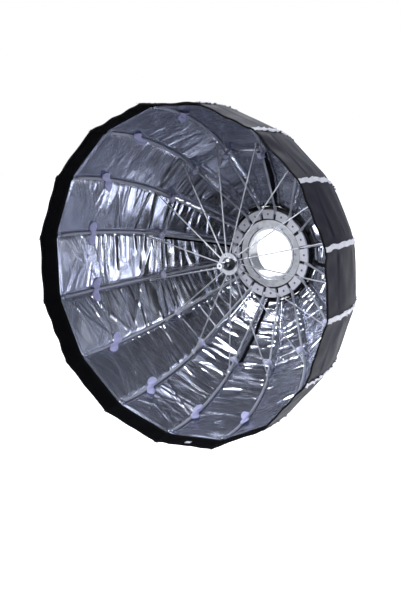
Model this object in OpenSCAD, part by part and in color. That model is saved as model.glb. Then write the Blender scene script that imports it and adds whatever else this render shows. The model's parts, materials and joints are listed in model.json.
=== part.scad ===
// Folding sixteen-rib octabox with a rotating mounting ring and a push hub.
//
// The optical axis is Y. The lamp's seat face is the plane Y = 0, the lamp is
// on the +Y side and light leaves towards -Y. Inside the modules the forward
// distance from the seat is the local Z axis, called s in the comments, and
// axial() turns it to -Y. A point in a rib's plane is written [r, s].

/* [Mount insert] */
// Radius of the opening for the lamp
bore_r = 60; // [56:0.5:62]
// Radius of the bayonet neck behind the seat
neck_r = 66; // [64:0.5:68]
// Length of the bayonet neck
neck_len = 12; // [9:0.5:16]
// Radius over the bayonet lugs
lug_r = 70; // [69:0.5:74]
// Angle that one lug covers
lug_angle = 26; // [18:1:40]
// Thickness of a lug along the axis
lug_t = 4; // [3:0.5:6]
// Radius of the seat flange
seat_r = 82; // [78:0.5:85]
// Thickness of the seat flange
seat_t = 6; // [4:0.5:9]
// Radius of the drum that the base ring turns on
drum_r = 74; // [73:0.5:77]
// Radius over the bright front lip
front_lip_r = 65; // [63:0.5:67]
// Height of the bright front lip above the drum
front_lip_h = 4; // [2:0.5:5]

/* [Retaining ring] */
// Outer radius of the retaining ring
retainer_r = 84; // [80:0.5:86]
// Inner radius of the retaining ring
retainer_bore_r = 67.5; // [67:0.5:70]
// Thickness of the retaining ring
retainer_t = 5; // [4:0.5:7]
// Radius of the circle of its screws
retainer_screw_circle_r = 71; // [70.5:0.5:72]

/* [Base ring] */
// Outer radius of the base ring
ring_r = 114; // [112:1:140]
// Thickness of the base ring
ring_t = 12.4; // [10:0.2:18]
// Inner radius of the raised hinge band
band_in_r = 88; // [87:0.5:92]
// Outer radius of the raised hinge band
band_out_r = 110; // [108:1:112]
// Height of the hinge band above the ring
band_h = 5.3; // [5.3:0.1:9]
// Height of the clamp caps
cap_h = 6; // [5:0.5:9]
// Radius of the hinge pin circle
pivot_r = 104; // [102:0.5:104.5]
// Radius of a rib's hinge pin
hinge_pin_r = 1.5; // [1:0.1:2]
// Length of a rib's hinge pin
hinge_pin_len = 18; // [14:1:22]

/* [Ribs] */
// Diameter of a rib's rod
rib_d = 5; // [3.5:0.1:6]
// Angle between the axis and the straight part of a rib
rib_lean = 56.1; // [50:0.1:62]
// Length of the straight part of a rib
rib_straight = 225; // [180:1:280]
// Angle of the bend at the spoke joint
rib_bend = 18.4; // [8:0.1:25]
// Radius of that bend
rib_bend_r = 60; // [40:1:90]
// Radius of the bowed outer part of a rib
rib_bow_r = 405; // [330:1:520]
// Angle that the bowed part turns through
rib_bow = 34.1; // [26:0.1:42]
// Thickness of a rib's foot in its slot
foot_t = 7.4; // [6:0.1:9]

/* [Spokes and hub] */
// Diameter of a spoke
spoke_d = 3; // [2:0.1:3.4]
// Thickness of a spoke's flattened ends
eyelet_t = 2.6; // [2:0.1:3]
// Distance of a rib's spoke pivot from the axis of its rod
ear_reach = 8; // [7:0.5:13]
// Radius of the hub's pivot circle
hub_pivot_r = 21; // [20:0.5:30]
// Distance of the hub's pivots in front of the ribs' pivots when open
hub_lead = 55; // [20:1:80]
// Radius of the dome on the hub
dome_r = 16; // [14:0.5:20]
// Height of the dome
dome_h = 9; // [6:0.5:14]
// Radius of the accessory stud
stud_r = 7.5; // [6:0.5:9]
// Length of the accessory stud in front of the hub
stud_len = 39; // [24:1:60]
// Radius of the threaded socket in the stud
socket_r = 3; // [2.5:0.1:4]
// Depth of that socket
socket_len = 12; // [8:1:18]

/* [Fabric] */
// Thickness of the outer cloth
shell_t = 1.2; // [0.8:0.1:2]
// Thickness of the reflective lining
lining_t = 0.8; // [0.5:0.1:1.5]
// Distance along a rib from its hinge to its tie
tie_at = 188; // [120:1:200]
// Distance of the lining behind the rod at the tie
tie_drop = 20; // [12:1:28]
// Distance along a rib from its hinge to the lowest sag of the lining
sag_at = 100; // [70:1:115]
// Distance of the lining behind the rod at that sag
sag_drop = 28; // [14:1:32]
// Width of the binding tape over a seam
tape_w = 14; // [8:1:22]
// How far the lip's front edge flares out beyond the ribs' tips
lip_flare = 11.5; // [8:0.5:60]
// Depth of the lip in front of the ribs' tips
lip_depth = 55; // [30:1:80]
// Thickness of the lip
lip_t = 2.2; // [1.5:0.1:3]
// Width of the hook band inside the lip
hook_w = 38; // [20:1:50]
// Position of the tabs along the bowed part of a rib, from 0 to 1
tab_at = 0.54; // [0.3:0.01:0.7]
// Half the width of a tab
tab_half_w = 14; // [10:1:18]
// Length of a tab along the rib
tab_len = 15; // [8:1:24]

/* [Hidden] */
$fn = 96;
rib_count = 16;
rib_step = 360 / rib_count;
half_step = rib_step / 2;

// Clearances
run_gap = 0.06;      // a pin or drum that turns in its bore
seat_gap = 0.05;     // a pin, screw or rod held in its bore
body_gap = 0.3;      // faces of bodies that move apart
cloth_gap = 0.3;     // between layers of cloth
eps = 0.01;          // extra depth of a cut

// Ring stack along the axis
ring_s = seat_t + body_gap;
ring_top_s = ring_s + ring_t;
drum_top_s = ring_top_s + body_gap;
pivot_s = ring_top_s + band_h;
slot_w = foot_t + 2 * body_gap;
slot_floor_s = ring_top_s - 0.6;
foot_r = band_h - 0.4;
cap_screw_r = (band_in_r + band_out_r) / 2;

// Screw sizes, as [shank radius, head radius, head height], and shank lengths
m3 = [1.5, 2.75, 2.8];
m4_grub = [2, 12];
retainer_screw_len = 8;
cap_screw_len = 10;
cap_screw_sink = 0.2;
hub_screw_len = 8;
hole_room = 0.2;     // depth of a blind hole beyond its screw's end

// Rib outline. A direction is an angle from the axis, and the cloth side of a
// rib is opposite to inward().
function along(a) = [sin(a), cos(a)];
function inward(a) = [-cos(a), sin(a)];
bow_lean = rib_lean - rib_bend;
tip_lean = bow_lean - rib_bow;
rib_foot = [pivot_r, pivot_s];
bend_start = rib_foot + rib_straight * along(rib_lean);
bend_end = bend_start + rib_bend_r * (inward(rib_lean) - inward(bow_lean));
function bow_point(f) =
    bend_end + rib_bow_r * (inward(bow_lean) - inward(bow_lean - f * rib_bow));
rib_tip = bow_point(1);

// Parts on a rib
rod_r = rib_d / 2;
foot_socket = 7;
foot_neck = 22;
neck_wall_r = foot_t / 2;
bracket_len = 18;
bracket_at = rib_straight - bracket_len / 2 - 1;
rib_pivot_at = rib_straight - 2;
ear_w = 8;
sleeve_r = rod_r + 0.9;
ear_t = 1.5;
tip_cup = 12;
tip_bow_room = tip_cup * tip_cup / (2 * rib_bow_r) + seat_gap;
tip_r = rod_r + tip_bow_room + 0.5;
tip_end = 2;

// Spokes
spoke_r = spoke_d / 2;
rib_pivot = rib_foot + rib_pivot_at * along(rib_lean) + ear_reach * inward(rib_lean);
hub_s = rib_pivot[1] + hub_lead;
hub_pivot = [hub_pivot_r, hub_s];
spoke_run = rib_pivot - hub_pivot;
spoke_len = norm(spoke_run);
spoke_lean = atan2(spoke_run[0], spoke_run[1]);
spoke_pin_r = 1;
eyelet_r = 3;
joint_eyelet_r = 3.5;
rivet_r = 1.5;
rivet_head_r = 2.6;
rivet_head_t = 0.8;
// A spoke lies beside its rib's plane, clear of the bracket's ear
spoke_shift = sleeve_r + body_gap + spoke_r;

// Hub, with distances along the axis from its pivot plane
hub_slot_w = eyelet_t + 2 * body_gap;
hub_slot_in_r = hub_pivot_r - eyelet_r - 0.5;
hub_slot_top = eyelet_r + 0.4;
hub_core_r = hub_pivot_r + 3.6;
hub_core_back = 6;
hub_flange_r = hub_pivot_r + 6;
hub_flange_t = 3.6;
hub_front_s = hub_s + hub_slot_top + hub_flange_t;
hub_pin_len = hub_slot_w + 2.7;
hub_plate_r = hub_slot_in_r - 0.5;
hub_plate_t = 3.2;
hub_screw_circle_r = hub_slot_in_r - 6.5;
stud_tail_r = 5;
stud_tail_len = 9;
// Radius of the dome's crown, from its rise over the rim
dome_rise = dome_h * 0.6;
dome_round_r = (dome_r * dome_r + dome_rise * dome_rise) / (2 * dome_rise);

// Cloth
bow_rows = 8;
chord_sag = rib_bow_r * (1 - cos(rib_bow / bow_rows / 2));
lining_in = rod_r + 1.9 + chord_sag;
shell_in = lining_in + lining_t + cloth_gap;
shell_out = shell_in + shell_t;
tape_t = 0.8;
tape_gap = 0.2;
collar_t = 1.9;
collar_r = ring_r + body_gap + collar_t;
collar_len = 13.5;
lining_end = [(collar_r + 0.4) / cos(half_step), ring_s + 5.7];
sleeve_in_r = rod_r + 0.4;
sleeve_t = 0.6;
pocket_t = 0.6;
pocket_len = 15;
tie_loop_r = rod_r + 0.4;
tie_t = 1;
tie_w = 5;
tab_t = 1;
strip_w = 10;
strip_from_seam = 3;
hook_t = 1.2;

RIB_NODES = [for (k = [1:rib_count]) str("rib_", k < 10 ? "0" : "", k)];
SPOKE_NODES = [for (k = [1:rib_count]) str("spoke_", k < 10 ? "0" : "", k)];

// ---- Placing ----

// Turns the local forward axis, +Z, to the part's -Y
module axial() {
    rotate([90, 0, 0]) children();
}

function rib_angle(k) = 90 + (k - 0.5) * rib_step;

// A rib's own plane: X is the radius, Z is s, and Y is across the rib
module at_rib(k) {
    axial() rotate([0, 0, rib_angle(k)]) children();
}

// The plane midway between rib k and the next one
module at_gore(k) {
    axial() rotate([0, 0, rib_angle(k) + half_step]) children();
}

// A point and a direction in a rib's plane: Z runs along the direction and
// +X points to the cloth
module on_rib(p, a) {
    translate([p[0], 0, p[1]]) rotate([0, a, 0]) children();
}

// A round piece across a rib's plane, centred on it
module across(p, r, h, shift = 0) {
    translate([p[0], shift, p[1]]) rotate([90, 0, 0])
        cylinder(r = r, h = h, center = true);
}

// An arc of a rib's outline, as a round rod, that starts a little early
module rib_arc(p, a, bend_radius, turn, r, early = 0) {
    centre = p + bend_radius * inward(a);
    lead = early / (bend_radius * PI / 180);
    translate([centre[0], 0, centre[1]]) rotate([90, 0, 0]) rotate([0, 0, -a - lead])
        rotate_extrude(angle = turn + lead) translate([bend_radius, 0]) circle(r = r, $fn = 32);
}

module tube(r_in, r_out, h) {
    difference() {
        cylinder(r = r_out, h = h);
        translate([0, 0, -eps]) cylinder(r = r_in, h = h + 2 * eps);
    }
}

// A screw whose head's top is at the origin and whose shank runs down
module screw(size, shank_len) {
    drive_r = size[1] * 0.5;
    difference() {
        union() {
            translate([0, 0, -size[2]]) cylinder(r = size[1], h = size[2]);
            translate([0, 0, -size[2] - shank_len]) cylinder(r = size[0], h = shank_len + eps);
        }
        translate([0, 0, -size[2] * 0.6]) cylinder(r = drive_r, h = size[2], $fn = 6);
    }
}

module screw_hole(size, shank_len) {
    translate([0, 0, -size[2] - 0.1]) cylinder(r = size[1] + 0.1, h = size[2] + 0.1 + 1);
    translate([0, 0, -size[2] - shank_len - hole_room])
        cylinder(r = size[0] + seat_gap, h = shank_len + hole_room + 0.8);
}

// ---- Sheets of cloth ----

// A closed sheet from rows of [inner, outer] points. Rows run from the front
// to the rear and columns run with the rib numbers. A looped sheet joins its
// last column to its first.
module sheet(rows, looped = false) {
    n = len(rows);
    m = len(rows[0]);
    function at(i, j, layer) = (i * m + (j % m)) * 2 + layer;
    last = looped ? m - 1 : m - 2;
    skins = [for (i = [0:n - 2], j = [0:last]) each [
        [at(i, j, 1), at(i, j + 1, 1), at(i + 1, j + 1, 1), at(i + 1, j, 1)],
        [at(i + 1, j, 0), at(i + 1, j + 1, 0), at(i, j + 1, 0), at(i, j, 0)]
    ]];
    ends = [for (j = [0:last]) each [
        [at(0, j + 1, 0), at(0, j + 1, 1), at(0, j, 1), at(0, j, 0)],
        [at(n - 1, j, 0), at(n - 1, j, 1), at(n - 1, j + 1, 1), at(n - 1, j + 1, 0)]
    ]];
    sides = looped ? [] : [for (i = [0:n - 2]) each [
        [at(i, m - 1, 1), at(i, m - 1, 0), at(i + 1, m - 1, 0), at(i + 1, m - 1, 1)],
        [at(i + 1, 0, 1), at(i + 1, 0, 0), at(i, 0, 0), at(i, 0, 1)]
    ]];
    polyhedron(points = [for (row = rows) for (pair = row) each pair],
               faces = concat(skins, ends, sides));
}

// The cloth's outline in a rib's plane, from the rim to the ring, at a
// distance from the rod's axis. It follows the bowed part and sags behind the
// straight part.
function cloth_outline(off) = concat(
    [for (i = [bow_rows:-1:0]) let (f = i / bow_rows)
        bow_point(f) - off * inward(bow_lean - f * rib_bow)],
    [bend_start - off * inward(rib_lean)],
    [rib_foot + tie_at * along(rib_lean) - (off + tie_drop - lining_in) * inward(rib_lean)],
    [rib_foot + sag_at * along(rib_lean) - (off + sag_drop - lining_in) * inward(rib_lean)],
    [lining_end - (off - lining_in) * inward(rib_lean)]);
tie_row = bow_rows + 2;
last_row = bow_rows + 4;

// A row of points across one gore, in the plane midway between its ribs
function gore_row(p, q) = let (trim = cloth_gap) [
    for (side = [-1, 1]) [
        for (v = [p, q]) [v[0] * cos(half_step), side * (v[0] * sin(half_step) - trim), v[1]]]];

module gore(off_in, off_out) {
    p = cloth_outline(off_in);
    q = cloth_outline(off_out);
    sheet([for (i = [0:len(p) - 1]) gore_row(p[i], q[i])]);
}

// A point beside a rib's seam, on the flat of the gore there
function beside_seam(v, w) = [v[0] - abs(w) * sin(half_step), w * cos(half_step), v[1]];

// ---- Mount ----

module mount_insert() color("silver") axial() difference() {
    union() {
        rotate_extrude($fn = 128) polygon([
            [bore_r, -neck_len], [neck_r, -neck_len], [neck_r, 0], [seat_r, 0],
            [seat_r, seat_t], [drum_r, seat_t], [drum_r, drum_top_s],
            [front_lip_r, drum_top_s], [front_lip_r, drum_top_s + front_lip_h],
            [bore_r, drum_top_s + front_lip_h]]);
        for (i = [0:2]) translate([0, 0, -neck_len]) rotate([0, 0, 120 * i - lug_angle / 2])
            rotate_extrude(angle = lug_angle) translate([neck_r - 1, 0])
                square([lug_r - neck_r + 1, lug_t]);
    }
    retainer_screws_at() screw_hole(m3, retainer_screw_len);
}

module retainer_screws_at() {
    for (i = [0:5]) rotate([0, 0, 60 * i])
        translate([retainer_screw_circle_r, 0, drum_top_s + retainer_t]) children();
}

module retaining_ring() color("gainsboro") axial() difference() {
    translate([0, 0, drum_top_s]) tube(retainer_bore_r, retainer_r, retainer_t);
    retainer_screws_at() screw_hole(m3, retainer_screw_len);
}

module retaining_screws() color("dimgray") axial() retainer_screws_at()
    screw(m3, retainer_screw_len);

// ---- Base ring ----

// Cuts that the base ring and its caps share: rib slots, pin grooves, screws
module hinge_cuts() {
    for (k = [1:rib_count]) {
        rotate([0, 0, rib_angle(k)]) {
            translate([band_in_r - 2, -slot_w / 2, slot_floor_s])
                cube([ring_r - band_in_r + 4, slot_w, pivot_s + cap_h + 1 - slot_floor_s]);
            across(rib_foot, hinge_pin_r + seat_gap, hinge_pin_len + 0.4);
        }
        rotate([0, 0, rib_angle(k) + half_step])
            translate([cap_screw_r, 0, pivot_s + cap_h - cap_screw_sink])
                screw_hole(m3, cap_screw_len);
    }
}

module drag_screws_at() {
    for (k = [2, 6, 10, 14]) rotate([0, 0, rib_angle(k)])
        translate([0, 0, ring_s + ring_t / 2]) rotate([0, 90, 0]) children();
}

module base_ring() color([0.16, 0.16, 0.17]) axial() difference() {
    union() {
        translate([0, 0, ring_s]) cylinder(r = ring_r, h = ring_t, $fn = 160);
        translate([0, 0, ring_top_s - eps])
            tube(band_in_r, band_out_r, band_h + eps);
    }
    translate([0, 0, ring_s - eps]) cylinder(r = drum_r + run_gap, h = ring_t + 2 * eps, $fn = 128);
    hinge_cuts();
    drag_screws_at() translate([0, 0, drum_r - 2]) cylinder(r = m4_grub[0] + seat_gap, h = ring_r);
}

module clamp_caps() color([0.86, 0.86, 0.88]) axial() difference() {
    translate([0, 0, pivot_s + seat_gap]) tube(band_in_r, band_out_r, cap_h - seat_gap);
    hinge_cuts();
}

module cap_screws() color("dimgray") axial() for (k = [1:rib_count])
    rotate([0, 0, rib_angle(k) + half_step])
        translate([cap_screw_r, 0, pivot_s + cap_h - cap_screw_sink]) screw(m3, cap_screw_len);

module hinge_pins() color("silver") for (k = [1:rib_count])
    at_rib(k) across(rib_foot, hinge_pin_r, hinge_pin_len);

// Grub screws that drag on the drum, so that a turned box stays where it is
module drag_screws() color("dimgray") axial() drag_screws_at()
    translate([0, 0, drum_r + body_gap]) difference() {
        cylinder(r = m4_grub[0], h = m4_grub[1]);
        translate([0, 0, m4_grub[1] - 2]) cylinder(r = 1, h = 3, $fn = 6);
    }

// ---- Ribs ----

// Foot, rod, spoke bracket and end cap of one rib
module rib(k) color([0.78, 0.78, 0.8]) at_rib(k) {
    rib_foot_piece();
    rib_rod();
    rib_bracket();
    rib_end_cap();
}

module rib_foot_piece() difference() {
    union() {
        across(rib_foot, foot_r, foot_t);
        on_rib(rib_foot, rib_lean) cylinder(r = neck_wall_r, h = foot_neck);
    }
    across(rib_foot, hinge_pin_r + run_gap, foot_t + 2);
    on_rib(rib_foot, rib_lean) translate([0, 0, foot_socket])
        cylinder(r = rod_r + seat_gap, h = foot_neck);
}

// The bend is a hair thicker than the lengths that run into it
module rib_rod() {
    on_rib(rib_foot, rib_lean) translate([0, 0, foot_socket + 0.1])
        cylinder(r = rod_r, h = rib_straight - foot_socket + 0.9, $fn = 32);
    rib_arc(bend_start, rib_lean, rib_bend_r, rib_bend, rod_r + 0.05);
    rib_arc(bend_end, bow_lean, rib_bow_r, rib_bow, rod_r, early = 1);
}

// Sleeve on the rod, with an ear beside it that carries the spoke's rivet
module rib_bracket() {
    ear_side = sleeve_r - ear_t;
    difference() {
        union() {
            on_rib(rib_foot, rib_lean) translate([0, 0, bracket_at - bracket_len / 2])
                cylinder(r = sleeve_r, h = bracket_len);
            on_rib(rib_foot, rib_lean) translate([-ear_reach, ear_side, rib_pivot_at - ear_w])
                cube([ear_reach, ear_t, ear_w + 2]);
            across(rib_pivot, ear_w / 2, ear_t, ear_side + ear_t / 2);
            across(rib_pivot, rivet_head_r, rivet_head_t + eps, ear_side - rivet_head_t / 2);
        }
        on_rib(rib_foot, rib_lean) cylinder(r = rod_r + seat_gap, h = rib_straight + 5);
    }
}

// Its bore has room for the bow of the rod inside it
module rib_end_cap() on_rib(rib_tip, tip_lean) difference() {
    translate([0, 0, -tip_cup]) cylinder(r = tip_r, h = tip_cup + tip_end);
    translate([0, 0, -tip_cup - 1]) cylinder(r = rod_r + tip_bow_room, h = tip_cup + 1 + seat_gap);
}

// ---- Spokes ----

module spoke(k) color([0.82, 0.82, 0.84]) at_rib(k) {
    difference() {
        union() {
            across(hub_pivot, eyelet_r, eyelet_t, spoke_shift);
            across(rib_pivot, joint_eyelet_r, eyelet_t, spoke_shift);
            translate([hub_pivot[0], spoke_shift, hub_pivot[1]]) rotate([0, spoke_lean, 0])
                translate([0, 0, eyelet_r - 1])
                    cylinder(r = spoke_r - eps, h = spoke_len - eyelet_r - joint_eyelet_r + 2,
                             $fn = 32);
        }
        across(hub_pivot, spoke_pin_r + run_gap, eyelet_t + 2, spoke_shift);
        across(rib_pivot, rivet_r + seat_gap, eyelet_t + 2, spoke_shift);
    }
    // Rivet, which stops short of the bracket's ear
    across(rib_pivot, rivet_r, eyelet_t, spoke_shift);
    across(rib_pivot, rivet_head_r, rivet_head_t,
           spoke_shift + eyelet_t / 2 + rivet_head_t / 2);
}

// ---- Hub ----

module hub_pins_at() {
    for (k = [1:rib_count]) rotate([0, 0, rib_angle(k)]) children();
}

module hub_screws_at() {
    for (i = [0:3]) rotate([0, 0, 90 * i + 45])
        translate([hub_screw_circle_r, 0, hub_s - hub_core_back - hub_plate_t - body_gap])
            rotate([180, 0, 0]) children();
}

module hub_body() color("silver") axial() difference() {
    union() {
        translate([0, 0, hub_s - hub_core_back])
            cylinder(r = hub_core_r, h = hub_core_back + hub_slot_top + eps);
        translate([0, 0, hub_s + hub_slot_top]) cylinder(r = hub_flange_r, h = hub_flange_t);
    }
    hub_pins_at() {
        translate([hub_slot_in_r, spoke_shift - hub_slot_w / 2, hub_s - hub_core_back - 1])
            cube([hub_core_r, hub_slot_w, hub_core_back + 1 + hub_slot_top]);
        across(hub_pivot, spoke_pin_r + seat_gap, hub_pin_len + 0.1, spoke_shift);
    }
    translate([0, 0, hub_front_s - stud_tail_len]) cylinder(r = stud_tail_r + seat_gap, h = 20);
    hub_screws_at() translate([0, 0, -m3[2] - hub_screw_len - hole_room])
        cylinder(r = m3[0] + seat_gap, h = hub_screw_len + 1);
}

module hub_back_plate() color([0.3, 0.3, 0.32]) axial() difference() {
    translate([0, 0, hub_s - hub_core_back - hub_plate_t - seat_gap])
        cylinder(r = hub_plate_r, h = hub_plate_t);
    hub_screws_at() screw_hole(m3, hub_screw_len);
}

module hub_screws() color("dimgray") axial() hub_screws_at()
    screw(m3, hub_screw_len);

module hub_pins() color("gray") axial() hub_pins_at()
    across(hub_pivot, spoke_pin_r, hub_pin_len, spoke_shift);

// Domed cap round the foot of the stud
module hub_cap() color("gainsboro") axial() translate([0, 0, hub_front_s + seat_gap])
    rotate_extrude() difference() {
        intersection() {
            translate([stud_r + seat_gap, 0]) square([dome_r - stud_r - seat_gap, dome_h]);
            translate([0, dome_h - dome_round_r]) circle(r = dome_round_r);
        }
        translate([-1, -dome_round_r]) square([1, dome_round_r]);
    }

module accessory_stud() color("silver") axial() difference() {
    union() {
        translate([0, 0, hub_front_s + seat_gap]) cylinder(r = stud_r, h = stud_len);
        translate([0, 0, hub_front_s - stud_tail_len + seat_gap])
            cylinder(r = stud_tail_r, h = stud_tail_len);
    }
    translate([0, 0, hub_front_s + seat_gap + stud_len - socket_len])
        cylinder(r = socket_r, h = socket_len + 1);
}

// ---- Cloth ----

module rear_collar() color([0.1, 0.1, 0.13]) axial() translate([0, 0, ring_s])
    tube(ring_r + body_gap, collar_r, collar_len);

module canopy_shell() color([0.1, 0.1, 0.14]) for (k = [1:rib_count])
    at_gore(k) gore(shell_in, shell_out);

module canopy_lining() color([0.62, 0.65, 0.7]) for (k = [1:rib_count])
    at_gore(k) gore(lining_in, lining_in + lining_t);

module seam_tapes() color("whitesmoke") {
    p = cloth_outline(shell_out + tape_gap);
    q = cloth_outline(shell_out + tape_gap + tape_t);
    for (k = [1:rib_count]) at_rib(k) sheet([for (i = [0:len(p) - 1])
        [for (w = [-tape_w / 2, 0, tape_w / 2]) [beside_seam(p[i], w), beside_seam(q[i], w)]]]);
}

// Cloth sleeves that hold the bowed part of each rib against the lining
module seam_sleeves() color([0.66, 0.69, 0.74]) {
    sleeve_end = 1 - (pocket_len + 2) / (rib_bow_r * rib_bow * PI / 180);
    for (k = [1:rib_count]) at_rib(k) difference() {
        rib_arc(bend_end, bow_lean, rib_bow_r, rib_bow * sleeve_end, sleeve_in_r + sleeve_t);
        rib_arc(bow_point(-0.02), bow_lean + 0.02 * rib_bow, rib_bow_r, rib_bow, sleeve_in_r);
    }
}

// Corner points of the rim's cloth at a distance inside and outside the rods
function rim_point(off) = rib_tip - off * inward(tip_lean) + 0.4 * along(tip_lean);
lip_out = lining_in + lip_t;
lip_front_r = rib_tip[0] + lip_flare;
lip_front_s = rib_tip[1] + lip_depth;

// A looped row of lip corners, from an inner and an outer [r, s]
function lip_row(p, q) = [for (k = [1:rib_count]) [
    for (v = [p, q]) [v[0] * cos(rib_angle(k)), v[0] * sin(rib_angle(k)), v[1]]]];

// The outer outline of the lip's section, from its front, 0, to its rear, 1
function lip_section(f) =
    (1 - f) * [lip_front_r, lip_front_s] + f * rim_point(lip_out);

module rim_lip() color([0.08, 0.08, 0.09]) axial() {
    inset = [lip_t, 0];
    sheet([lip_row(lip_section(0) - inset, lip_section(0)),
           lip_row(rim_point(lining_in), rim_point(lip_out))], looped = true);
}

module hook_band() color([0.05, 0.05, 0.05]) axial() {
    rear = hook_w / lip_depth;
    sheet([for (f = [0.06, 0.06 + rear]) let (
        outer = lip_section(f) - [lip_t + cloth_gap, 0])
        lip_row(outer - [hook_t, 0], outer)], looped = true);
}

// Cups sewn inside the rim for the ribs' end caps
module rib_pockets() color([0.12, 0.12, 0.13]) {
    cup_r = tip_r + body_gap;
    for (k = [1:rib_count]) at_rib(k) on_rib(rib_tip, tip_lean) difference() {
        translate([0, 0, tip_end + body_gap + 1 - pocket_len])
            cylinder(r = cup_r + pocket_t, h = pocket_len);
        translate([0, 0, -pocket_len]) cylinder(r = cup_r, h = pocket_len + tip_end + body_gap);
    }
}

// The lining's height beside a rod, a little under its surface
function lining_x(y) = lining_in - chord_sag - tape_gap - y * tan(half_step);

// Soft tabs that bridge each rib in front of its sleeve
module velcro_tabs() color([0.88, 0.88, 0.94]) {
    clear = sleeve_in_r + sleeve_t + 0.4;
    rise = clear + 3.1;
    back = [[lining_x(tab_half_w), tab_half_w], [lining_x(rise), rise], [-clear, clear * 0.67]];
    front = [[lining_x(tab_half_w) - tab_t, tab_half_w], [lining_x(rise) - tab_t, rise + 0.2],
             [-clear - tab_t, clear * 0.75]];
    flip = [for (list = [back, front]) [for (i = [2:-1:0]) [list[i][0], -list[i][1]]]];
    outline = concat(back, flip[0], [for (i = [2:-1:0]) flip[1][i]],
                     [for (i = [2:-1:0]) front[i]]);
    for (k = [1:rib_count]) at_rib(k)
        on_rib(bow_point(tab_at), bow_lean - tab_at * rib_bow)
            translate([0, 0, -tab_len / 2]) linear_extrude(tab_len) polygon(outline);
}

// Loops round the straight part of each rib, with a strap back to the lining
module rib_ties() color([0.8, 0.8, 0.92]) for (k = [1:rib_count])
    at_rib(k) on_rib(rib_foot, rib_lean) translate([0, 0, tie_at - tie_w / 2]) {
        tube(tie_loop_r, tie_loop_r + tie_t, tie_w);
        translate([tie_loop_r + tie_t / 2, -tie_t / 2, 0])
            cube([tie_drop - 1.2 - tie_loop_r - tie_t / 2, tie_t, tie_w]);
    }

// Dark strips over the slits in the lining, beside every fourth rib
module slit_strips() color([0.07, 0.07, 0.08]) {
    p = cloth_outline(lining_in - tape_gap - tape_t);
    q = cloth_outline(lining_in - tape_gap);
    for (k = [4, 8, 12, 16]) at_rib(k) sheet([for (f = [0.06, 0.5, 1, 1.5, 1.86])
        let (i = tie_row + floor(f), g = f - floor(f),
             a = (1 - g) * p[i] + g * p[min(i + 1, last_row)],
             b = (1 - g) * q[i] + g * q[min(i + 1, last_row)])
        [for (w = [strip_from_seam, strip_from_seam + strip_w])
            [beside_seam(a, w), beside_seam(b, w)]]]);
}

// ---- Assembly ----

mount_insert();
retaining_ring();
retaining_screws();
base_ring();
clamp_caps();
cap_screws();
hinge_pins();
drag_screws();
rear_collar();
canopy_shell();
canopy_lining();
seam_tapes();
seam_sleeves();
rim_lip();
hook_band();
rib_pockets();
velcro_tabs();
rib_ties();
slit_strips();
hub_body();
hub_back_plate();
hub_cap();
hub_pins();
hub_screws();
accessory_stud();
for (k = [1:rib_count]) rib(k);
for (k = [1:rib_count]) spoke(k);
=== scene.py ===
"""Looks of a folding octabox: sixteen ribs, a turning ring and a push hub.

Sizes are in millimetres until a mesh is made, and the frame is in metres. A
point beside a rib is (r, t, s): the radius, the distance across the rib's
plane, and the distance in front of the lamp's seat.
"""

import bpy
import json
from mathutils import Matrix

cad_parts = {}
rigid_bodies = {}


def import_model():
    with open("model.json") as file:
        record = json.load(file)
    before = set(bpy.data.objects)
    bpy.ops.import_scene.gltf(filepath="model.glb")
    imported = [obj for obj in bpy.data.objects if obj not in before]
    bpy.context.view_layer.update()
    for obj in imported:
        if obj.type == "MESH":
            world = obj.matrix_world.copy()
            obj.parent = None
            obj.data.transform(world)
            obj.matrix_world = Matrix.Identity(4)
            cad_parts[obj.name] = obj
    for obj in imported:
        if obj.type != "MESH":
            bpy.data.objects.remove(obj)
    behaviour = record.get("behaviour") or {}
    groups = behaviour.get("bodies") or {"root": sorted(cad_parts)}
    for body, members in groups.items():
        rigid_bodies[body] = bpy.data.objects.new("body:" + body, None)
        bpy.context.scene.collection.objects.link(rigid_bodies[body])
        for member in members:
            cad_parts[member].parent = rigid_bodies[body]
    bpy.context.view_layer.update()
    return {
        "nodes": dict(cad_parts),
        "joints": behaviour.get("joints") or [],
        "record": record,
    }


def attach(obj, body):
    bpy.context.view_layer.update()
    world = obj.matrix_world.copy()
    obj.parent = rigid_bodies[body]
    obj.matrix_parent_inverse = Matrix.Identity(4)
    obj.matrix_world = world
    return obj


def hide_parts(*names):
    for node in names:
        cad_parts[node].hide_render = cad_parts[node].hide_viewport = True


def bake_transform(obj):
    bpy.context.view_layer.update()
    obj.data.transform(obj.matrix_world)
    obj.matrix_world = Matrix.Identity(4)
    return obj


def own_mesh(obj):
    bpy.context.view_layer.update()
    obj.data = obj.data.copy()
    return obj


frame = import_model()

import json
import logging
import math
from dataclasses import dataclass, field
from enum import Enum
from typing import Iterable, Sequence

import bmesh
import bpy
import numpy as np
from mathutils import Matrix

Array = np.ndarray
Mesh = bpy.types.Mesh
Node = bpy.types.Node
Paint = bpy.types.Material
Paints = dict[str, Paint]
Piece = bpy.types.Object
Socket = bpy.types.NodeSocket
Tree = bpy.types.NodeTree
log = logging.getLogger("octabox")

MM = 0.001
RIBS = 16
STEP = 2 * math.pi / RIBS
HALF = STEP / 2
# A wave texture's bands are this far apart at scale 1
BAND_PERIOD = 2 * math.pi / 20
GATHERS_PER_METRE = 160.0


# ---- Frame of a rib ----


def rib_angle(rib: int) -> float:
    """Angle of a rib round the axis, seen from the front."""
    return math.pi / 2 + (rib - 0.5) * STEP


def rib_body(rib: int) -> str:
    """Name of the body that a rib is."""
    return f"rib_{rib:02d}"


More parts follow.
